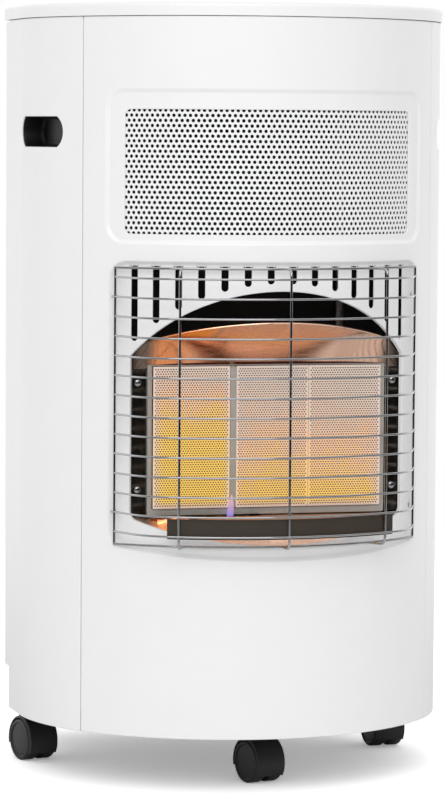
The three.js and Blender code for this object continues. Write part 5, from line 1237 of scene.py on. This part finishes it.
def igniter_button():
    head = BEZEL_TOP + IGNITER["travel"] + 0.5
    top, radius = head + IGNITER["head"], IGNITER["radius"]
    profile = [(HEIGHT - WELL["depth"] - 6, 0), (HEIGHT - WELL["depth"] - 6, radius - 2), (head, radius - 2),
               (head, radius - 0.4), (head + 0.4, radius), (top - 1.4, radius), (top - 0.5, radius - 0.5),
               (top, radius - 1.5), (top - 0.5, radius - 4), (top - 0.7, 0)]
    return Mould().turned(profile, along("z", (IGNITER["x"], 0, 0)), 40)


def castor_place(name):
    """Where a castor's own axes lie: along its axle, ahead of its pin and up."""
    x, y, swivel = CASTOR_PLACES[name]

    def place(axial, ahead, up):
        return (x + axial * cos(swivel) + ahead * sin(swivel), y + axial * sin(swivel) - ahead * cos(swivel),
                up)

    return place


def castor_wheel(name, side):
    """A wheel with a rounded tread, a dished disc and a hub cap; side is -1 or 1."""
    place = castor_place(name)
    outer = CASTOR["width"] / 2
    inner = outer - CASTOR["wheel"]
    radius, trail = CASTOR["radius"], CASTOR["trail"]
    profile = [(inner, 2.9), (inner, radius - 1.0), (inner + 0.3, radius - 0.3), (inner + 1.0, radius),
               (outer - 2.2, radius), (outer - 1.0, radius - 0.5), (outer - 0.3, radius - 1.4),
               (outer, radius - 2.6),
               (outer - 0.1, radius - 3.2), (outer - 1.1, radius - 3.6), (outer - 1.3, radius - 4.2),
               (outer - 1.1, radius - 4.8), (outer - 0.7, radius * 0.55), (outer - 0.5, radius * 0.3),
               (outer - 0.4, 0)]
    return Mould().turned(profile, lambda a, u, v: place(side * a, trail + side * u, radius + v), 48)


def castor_hood(name):
    """The shell over both wheels, from behind the pin down the front to just clear of the floor."""
    place = castor_place(name)
    radius, trail, width = CASTOR["radius"], CASTOR["trail"], CASTOR["width"]
    (start, end), gap, shell = CASTOR["hood_arc"], 1.0, 2.2
    half = width / 2 - 1.0
    mould = Mould()
    rows = []
    for i in range(33):
        angle = start + (end - start) * i / 32
        section = []
        for across, out in ((-half, gap), (-half, gap + shell - 0.8), (-half + 0.8, gap + shell),
                            (half - 0.8, gap + shell),
                            (half, gap + shell - 0.8), (half, gap)):
            reach = radius + out
            section.append(place(across, trail - reach * cos(angle), radius + reach * sin(angle)))
        rows.append(section)
    numbers = mould.grid(rows, closed=True)
    mould.faces += [numbers[0], numbers[-1][::-1]]
    web = width / 2 - CASTOR["wheel"] - CLEARANCE
    disc = [(trail - (radius + gap) * cos(a), radius + (radius + gap) * sin(a))
            for a in [start + (end - start) * i / 32 for i in range(33)]]
    left = mould.add([place(-web, u, v) for u, v in disc])
    right = mould.add([place(web, u, v) for u, v in disc])
    mould.faces += [left, right[::-1]]
    mould.faces += [[left[i], right[i], right[(i + 1) % 33], left[(i + 1) % 33]] for i in range(33)]
    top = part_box(f"castor_{name}_hood")[1].z / MM
    mould.turned([(40.7, 5.3), (40.7, 7.5), (top - 1, 7.5), (top, 6.8), (top, 5.3), (40.7, 5.3)],
                 lambda a, u, v: place(u, v, a), 28)
    return mould


# ---------------------------------------------------------------- settings


def length(name, millimetres, description):
    return bpy.props.FloatProperty(name=name, description=description, default=millimetres * MM, min=0.0,
                                   unit="LENGTH", precision=4)


class HeaterSizes(bpy.types.PropertyGroup):
    """Sizes of fine detail that the solids leave plain."""

    vent_pitch: length("Vent pitch", 5.2, "Distance between neighbouring holes of the vent sheet")
    vent_hole: length("Vent hole", 3.3, "Diameter of the vent sheet's holes")
    pore_pitch: length("Pore pitch", 2.4, "Distance between neighbouring pores of a ceramic plaque")
    pore: length("Pore", 1.5, "Width of a plaque's pores")


class HeaterStudio(bpy.types.PropertyGroup):
    """Light and floor of the studio."""

    key_power: bpy.props.FloatProperty(name="Key light", description="Power of the soft light above",
                                       default=33.0,
                                       min=0.0, unit="POWER")
    surround: bpy.props.FloatProperty(name="Surround", description="Brightness of the surrounding light",
                                      default=0.72, min=0.0, subtype="FACTOR")
    floor: bpy.props.FloatVectorProperty(name="Floor", description="Colour of the floor", subtype="COLOR",
                                         size=4,
                                         default=linear("#F4F4F4"), min=0.0, max=1.0)


# ---------------------------------------------------------------- operators


class HeaterOperator:
    """What every maker's operator shares."""

    bl_options = {"REGISTER", "UNDO"}

    def execute(self, context):
        self.make(context)
        return {"FINISHED"}


class HEATER_OT_casing(HeaterOperator, bpy.types.Operator):
    """Makes the bowed front panel, both side panels and the lid"""

    bl_idname = "heater.casing"
    bl_label = "Casing"

    def make(self, context):
        paint = coat("powder_coat_white")
        piece("front_sheet", front_panel(), paint, stands_for=["front_panel"])
        for side, word in ((-1, "left"), (1, "right")):
            node = f"side_panel_{word}"
            piece(f"side_sheet_{word}", side_panel(side), paint, stands_for=[node])
        piece("lid_sheet", top_lid(), paint, stands_for=["top_lid"])


class HEATER_OT_rear(HeaterOperator, bpy.types.Operator):
    """Makes the lift-off rear cover and the slotted rail above it"""

    bl_idname = "heater.rear"
    bl_label = "Rear cover and rail"

    def make(self, context):
        paint = coat("powder_coat_white")
        piece("rear_cover_sheet", rear_cover(), paint, "rear_cover", ["rear_cover"])
        piece("rear_rail_sheet", rear_rail(), paint, stands_for=["rear_rail"])


class HEATER_OT_vent(HeaterOperator, bpy.types.Operator):
    """Makes the perforated sheet behind the vent window"""

    bl_idname = "heater.vent"
    bl_label = "Vent sheet"

    def make(self, context):
        sizes = context.scene.heater_sizes
        made = vent_mesh(sizes.vent_pitch / MM, sizes.vent_hole / MM)
        piece("vent_perforated_sheet", made, coat("powder_coat_white"), stands_for=["vent_mesh"])


class HEATER_OT_grips(HeaterOperator, bpy.types.Operator):
    """Makes the moulded cups behind the hand-holds"""

    bl_idname = "heater.grips"
    bl_label = "Hand-holds"

    def make(self, context):
        for side, word in ((-1, "left"), (1, "right")):
            piece(f"hand_cup_{word}", hand_grip(side), coat("moulded_abs_black"),
                  stands_for=[f"hand_grip_{word}"])


class HEATER_OT_burner(HeaterOperator, bpy.types.Operator):
    """Makes the glowing plaques, their frame and the divider between the two chambers"""

    bl_idname = "heater.burner"
    bl_label = "Burner"

    def make(self, context):
        sizes = context.scene.heater_sizes
        gap = DIVIDER["width"] / 2 + CLEARANCE
        spans = {"left": (-PLAQUE_HALF, DIVIDER["x"] - gap),
                 "centre": (DIVIDER["x"] + gap, JOINT_X - CLEARANCE / 2),
                 "right": (JOINT_X + CLEARANCE / 2, PLAQUE_HALF)}
        for word, (left, right) in spans.items():
            made = plaque(left, right, sizes.pore_pitch / MM, sizes.pore / MM)
            tile = piece(f"plaque_{word}", made, [ceramic_glow_and_painted_light(), pore_ceramic()],
                         stands_for=[f"burner_plaque_{word}"])
            inside = [len({round(v.co.y, 6) for v in map(tile.data.vertices.__getitem__, face.vertices)}) > 1
                      or tile.data.vertices[face.vertices[0]].co.y > (SHIFT - PLAQUE_FACE + 1) * MM
                      for face in tile.data.polygons]
            tile.data.polygons.foreach_set("material_index", [int(deep) for deep in inside])
        satin = coat("satin_stainless")
        outline = rounded_rectangle(-FRAME_HALF, FRAME_HALF, FRAME_BOTTOM, FRAME_TOP, 1.5, 3)
        inner = PLAQUE_HALF + CLEARANCE
        hole = rounded_rectangle(-inner, inner, PLAQUE_BOTTOM - CLEARANCE, PLAQUE_TOP + CLEARANCE, 0.5, 2)
        made = plate(facing_front(FRAME_FACE), dense(outline, 30), 6.0, 1.0, [dense(hole, 30)])
        piece("plaque_surround", made, satin, stands_for=["plaque_frame"])
        half = DIVIDER["width"] / 2
        bar = rounded_rectangle(DIVIDER["x"] - half, DIVIDER["x"] + half, PLAQUE_BOTTOM, PLAQUE_TOP, 1.4, 2)
        piece("chamber_divider", plate(facing_front(PLAQUE_FACE + 1.2), dense(bar, 30), 10.0, 0.8), satin,
              stands_for=["plaque_divider"])


class HEATER_OT_reflectors(HeaterOperator, bpy.types.Operator):
    """Makes the hood, the base and side reflectors and their screws"""

    bl_idname = "heater.reflectors"
    bl_label = "Reflectors"

    def make(self, context):
        polished = stainless_with_painted_reflection()
        piece("hood_sheet", reflector_hood(), polished, stands_for=["reflector_hood"])
        piece("base_sheet", base_reflector(), polished, stands_for=["base_reflector"])
        for side, word in ((-1, "left"), (1, "right")):
            piece(f"side_plate_{word}", side_reflector(side), coat("heat_blued_stainless"),
                  stands_for=[f"side_reflector_{word}"])
            for height in ("upper", "lower"):
                name = f"reflector_screw_{height}_{word}"
                piece(f"pan_{name}", screw(side, SCREWS[height]), coat("chrome_plated_wire"),
                      stands_for=[name])


class HEATER_OT_pilot(HeaterOperator, bpy.types.Operator):
    """Makes the pilot jet, its thermocouple, the spark electrode and the flame"""

    bl_idname = "heater.pilot"
    bl_label = "Pilot"

    def make(self, context):
        dress(coat("turned_brass"), "pilot_burner")
        piece("pilot_jet", pilot_burner(), coat("turned_brass"))
        piece("thermocouple_tip", thermocouple(), coat("turned_brass"), stands_for=["thermocouple"])
        piece("electrode", spark_electrode(), coat("glazed_porcelain"), stands_for=["spark_electrode"])
        piece("pilot_flame", pilot_flame(), gas_flame())


class HEATER_OT_guard(HeaterOperator, bpy.types.Operator):
    """Makes the chrome wire guard and its heat deflector"""

    bl_idname = "heater.guard"
    bl_label = "Guard"

    def make(self, context):
        piece("guard_wires", wire_guard(), coat("chrome_plated_wire"), stands_for=["wire_guard"],
              smooth_below=60)
        piece("deflector_strip", guard_deflector(), coat("stoved_brown_enamel"),
              stands_for=["guard_deflector"])


class HEATER_OT_controls(HeaterOperator, bpy.types.Operator):
    """Makes the bezel, the knob and the igniter's button, and finishes the gas way"""

    bl_idname = "heater.controls"
    bl_label = "Controls and gas way"

    def make(self, context):
        black = coat("moulded_abs_black")
        piece("bezel_plate", control_bezel(), black, stands_for=["control_bezel"])
        piece("knob_fluted", control_knob(), black, "control_knob", ["control_knob"])
        piece("igniter_cap", igniter_button(), coat("moulded_abs_red"), "igniter_button", ["igniter_button"])
        dress(black, "igniter_body")
        dress(coat("turned_brass"), "valve_plug", "gas_valve_body", "hose_inlet", "gas_manifold")
        dress(coat("zinc_plate"), "valve_spindle", "gas_pipe")


class HEATER_OT_castors(HeaterOperator, bpy.types.Operator):
    """Makes the three twin-wheel castors"""

    bl_idname = "heater.castors"
    bl_label = "Castors"

    def make(self, context):
        nylon = coat("moulded_nylon_black")
        for name in CASTOR_PLACES:
            dress(coat("zinc_plate"), f"castor_{name}_stem")
            dress(nylon, f"castor_{name}_axle")
            piece(f"castor_{name}_shell", castor_hood(name), nylon, f"castor_{name}_swivel",
                  [f"castor_{name}_hood"])
            for side, word in ((-1, "left"), (1, "right")):
                node = f"castor_{name}_wheel_{word}"
                piece(f"castor_{name}_tread_{word}", castor_wheel(name, side), nylon, node, [node])


class HEATER_OT_frame_finish(HeaterOperator, bpy.types.Operator):
    """Finishes the solids that stay as they are"""

    bl_idname = "heater.frame_finish"
    bl_label = "Inner sheet metal"

    def make(self, context):
        dress(coat("galvanised_sheet"), "base_tray")
        # Painted shade: the inner sheets are near-black to stand for the dark inside.
        dress(coat("galvanised_sheet_painted_shade"), "heat_shield", "burner_housing")


class HEATER_OT_studio(HeaterOperator, bpy.types.Operator):
    """Makes the camera, the floor, the lamps and the surround"""

    bl_idname = "heater.studio"
    bl_label = "Studio"

    def make(self, context):
        scene, studio = context.scene, context.scene.heater_studio
        make_camera(scene)
        make_floor(scene, studio)
        make_light(scene, studio)
        make_surround(scene, studio)
        scene.view_settings.view_transform = "Standard"


def make_camera(scene):
    data = bpy.data.cameras.new("camera")
    data.lens, data.sensor_width, data.clip_end = CAMERA["lens"], 36.0, 100.0
    camera = bpy.data.objects.new("camera", data)
    azimuth, drop, roll = CAMERA["azimuth"], CAMERA["drop"], CAMERA["roll"]
    ahead = Vector((sin(azimuth) * cos(drop), cos(azimuth) * cos(drop), -sin(drop)))
    level = ahead.cross(Vector((0, 0, 1))).normalized()
    right = level * cos(roll) + level.cross(ahead) * sin(roll)
    up = right.cross(ahead)
    turn = Matrix((right, up, -ahead)).transposed().to_4x4()
    camera.matrix_world = Matrix.Translation((CAMERA["x"], CAMERA["y"] + SHIFT * MM, CAMERA["z"])) @ turn
    scene.collection.objects.link(camera)
    scene.camera = camera


def make_floor(scene, studio):
    """A pale floor that fades into the white surround, and keeps the heater's shadow."""
    mould = Mould()
    rings = [0.0, 700.0, 1400.0, 2100.0, 2800.0]
    rows = [[(r * cos(7.5 * i), r * sin(7.5 * i) - SHIFT, 0.0) for i in range(48)] for r in rings[1:]]
    numbers = mould.grid(rows, closed=True)
    mould.faces.append(numbers[0][::-1])
    mould.faces = [face[::-1] for face in mould.faces]
    mesh = bpy.data.meshes.new("floor")
    mesh.from_pydata([to_row(p) for p in mould.points], [], mould.faces)
    floor = bpy.data.objects.new("floor", mesh)
    scene.collection.objects.link(floor)
    floor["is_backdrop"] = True
    material = bpy.data.materials.new("painted_studio_floor")
    material.use_nodes = True
    tree = material.node_tree
    tree.nodes.clear()
    place, _ = place_on(tree)
    tone = mixed(tree, noise(tree, place, 60.0, 2.0), tuple(studio.floor), linear("#F8F8F8"))
    lit = add_node(tree, "ShaderNodeBsdfDiffuse", {"Color": tone})
    bright = add_node(tree, "ShaderNodeBsdfDiffuse", {"Color": linear("#BCBCBC")})
    lift = add_node(tree, "ShaderNodeEmission", {"Color": (1, 1, 1, 1), "Strength": 0.24})
    seen = lit
    for extra in (bright, lift):
        seen = add_node(tree, "ShaderNodeAddShader", {0: seen.outputs[0], 1: extra.outputs[0]})
    path = add_node(tree, "ShaderNodeLightPath")
    body = add_node(tree, "ShaderNodeMixShader", {0: path.outputs["Is Camera Ray"], 1: lit.outputs[0],
                                                  2: seen.outputs[0]})
    reach = add_node(tree, "ShaderNodeVectorMath", {0: place}, operation="LENGTH")
    fade = ranged(tree, reach.outputs["Value"], FLOOR["bright"], FLOOR["gone"])
    clear = add_node(tree, "ShaderNodeBsdfTransparent")
    whole = add_node(tree, "ShaderNodeMixShader", {0: fade, 1: body.outputs[0], 2: clear.outputs[0]})
    add_node(tree, "ShaderNodeOutputMaterial", {"Surface": whole.outputs[0]})
    mesh.materials.append(material)


def make_light(scene, studio):
    """One broad soft lamp above and ahead of the heater."""
    data = bpy.data.lights.new("soft_box", "AREA")
    data.shape, data.size, data.size_y = "RECTANGLE", SOFT_BOX["width"], SOFT_BOX["height"]
    data.energy = studio.key_power
    lamp = bpy.data.objects.new("soft_box", data)
    spot = Vector(SOFT_BOX["at"])
    turn = (Vector(SOFT_BOX["aim"]) - spot).to_track_quat("-Z", "Y").to_matrix().to_4x4()
    lamp.matrix_world = Matrix.Translation(spot) @ turn
    scene.collection.objects.link(lamp)


def make_surround(scene, studio):
    """White where the camera looks past the heater; a room that mirrors bright above and behind only."""
    world = bpy.data.worlds.new("studio")
    scene.world = world
    world.use_nodes = True
    tree = world.node_tree
    tree.nodes.clear()
    place = add_node(tree, "ShaderNodeTexCoord").outputs["Generated"]
    axes = add_node(tree, "ShaderNodeSeparateXYZ", {"Vector": place}).outputs
    above = ranged(tree, axes["Z"], 0.45, 0.65)
    behind = ranged(tree, axes["Y"], -0.2, 0.4)
    mirrored = ranged(tree, worked(tree, "MAXIMUM", above, behind), 0.0, 1.0, 0.02, 1.3)
    path = add_node(tree, "ShaderNodeLightPath").outputs
    level = add_node(tree, "ShaderNodeMix", {"Factor": path["Is Glossy Ray"], 2: studio.surround,
                                             3: mirrored})
    room = add_node(tree, "ShaderNodeBackground", {"Color": (1, 1, 1, 1), "Strength": level.outputs[0]})
    white = add_node(tree, "ShaderNodeBackground", {"Color": (1, 1, 1, 1), "Strength": 1.0})
    past = worked(tree, "MAXIMUM", path["Is Camera Ray"], path["Is Transmission Ray"])
    whole = add_node(tree, "ShaderNodeMixShader", {0: past, 1: room.outputs[0], 2: white.outputs[0]})
    add_node(tree, "ShaderNodeOutputWorld", {"Surface": whole.outputs[0]})


class HEATER_PT_makers(bpy.types.Panel):
    """Lists the makers in the sidebar"""

    bl_label = "Gas Cabinet Heater"
    bl_idname = "HEATER_PT_makers"
    bl_space_type = "VIEW_3D"
    bl_region_type = "UI"
    bl_category = "Heater"

    def draw(self, context):
        for group in (context.scene.heater_sizes, context.scene.heater_studio):
            box = self.layout.box()
            for name in type(group).__annotations__:
                box.prop(group, name)
        for operator in OPERATORS:
            self.layout.operator(operator.bl_idname)


OPERATORS = (HEATER_OT_studio, HEATER_OT_casing, HEATER_OT_rear, HEATER_OT_vent, HEATER_OT_grips,
             HEATER_OT_burner,
             HEATER_OT_reflectors, HEATER_OT_pilot, HEATER_OT_guard, HEATER_OT_controls, HEATER_OT_castors,
             HEATER_OT_frame_finish)
CLASSES = (HeaterSizes, HeaterStudio, *OPERATORS, HEATER_PT_makers)


def register():
    for each in CLASSES:
        bpy.utils.register_class(each)
    bpy.types.Scene.heater_sizes = bpy.props.PointerProperty(type=HeaterSizes)
    bpy.types.Scene.heater_studio = bpy.props.PointerProperty(type=HeaterStudio)


def unregister():
    del bpy.types.Scene.heater_studio
    del bpy.types.Scene.heater_sizes
    for each in reversed(CLASSES):
        bpy.utils.unregister_class(each)


def main():
    """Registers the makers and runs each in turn."""
    register()
    for operator in OPERATORS:
        group, name = operator.bl_idname.split(".")
        getattr(getattr(bpy.ops, group), name)()
    boxes = [[list(corner) for corner in box] for box in (CAD_BOX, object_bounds())]
    for box in boxes:
        json.dumps(box)


if __name__ == "__main__":
    main()
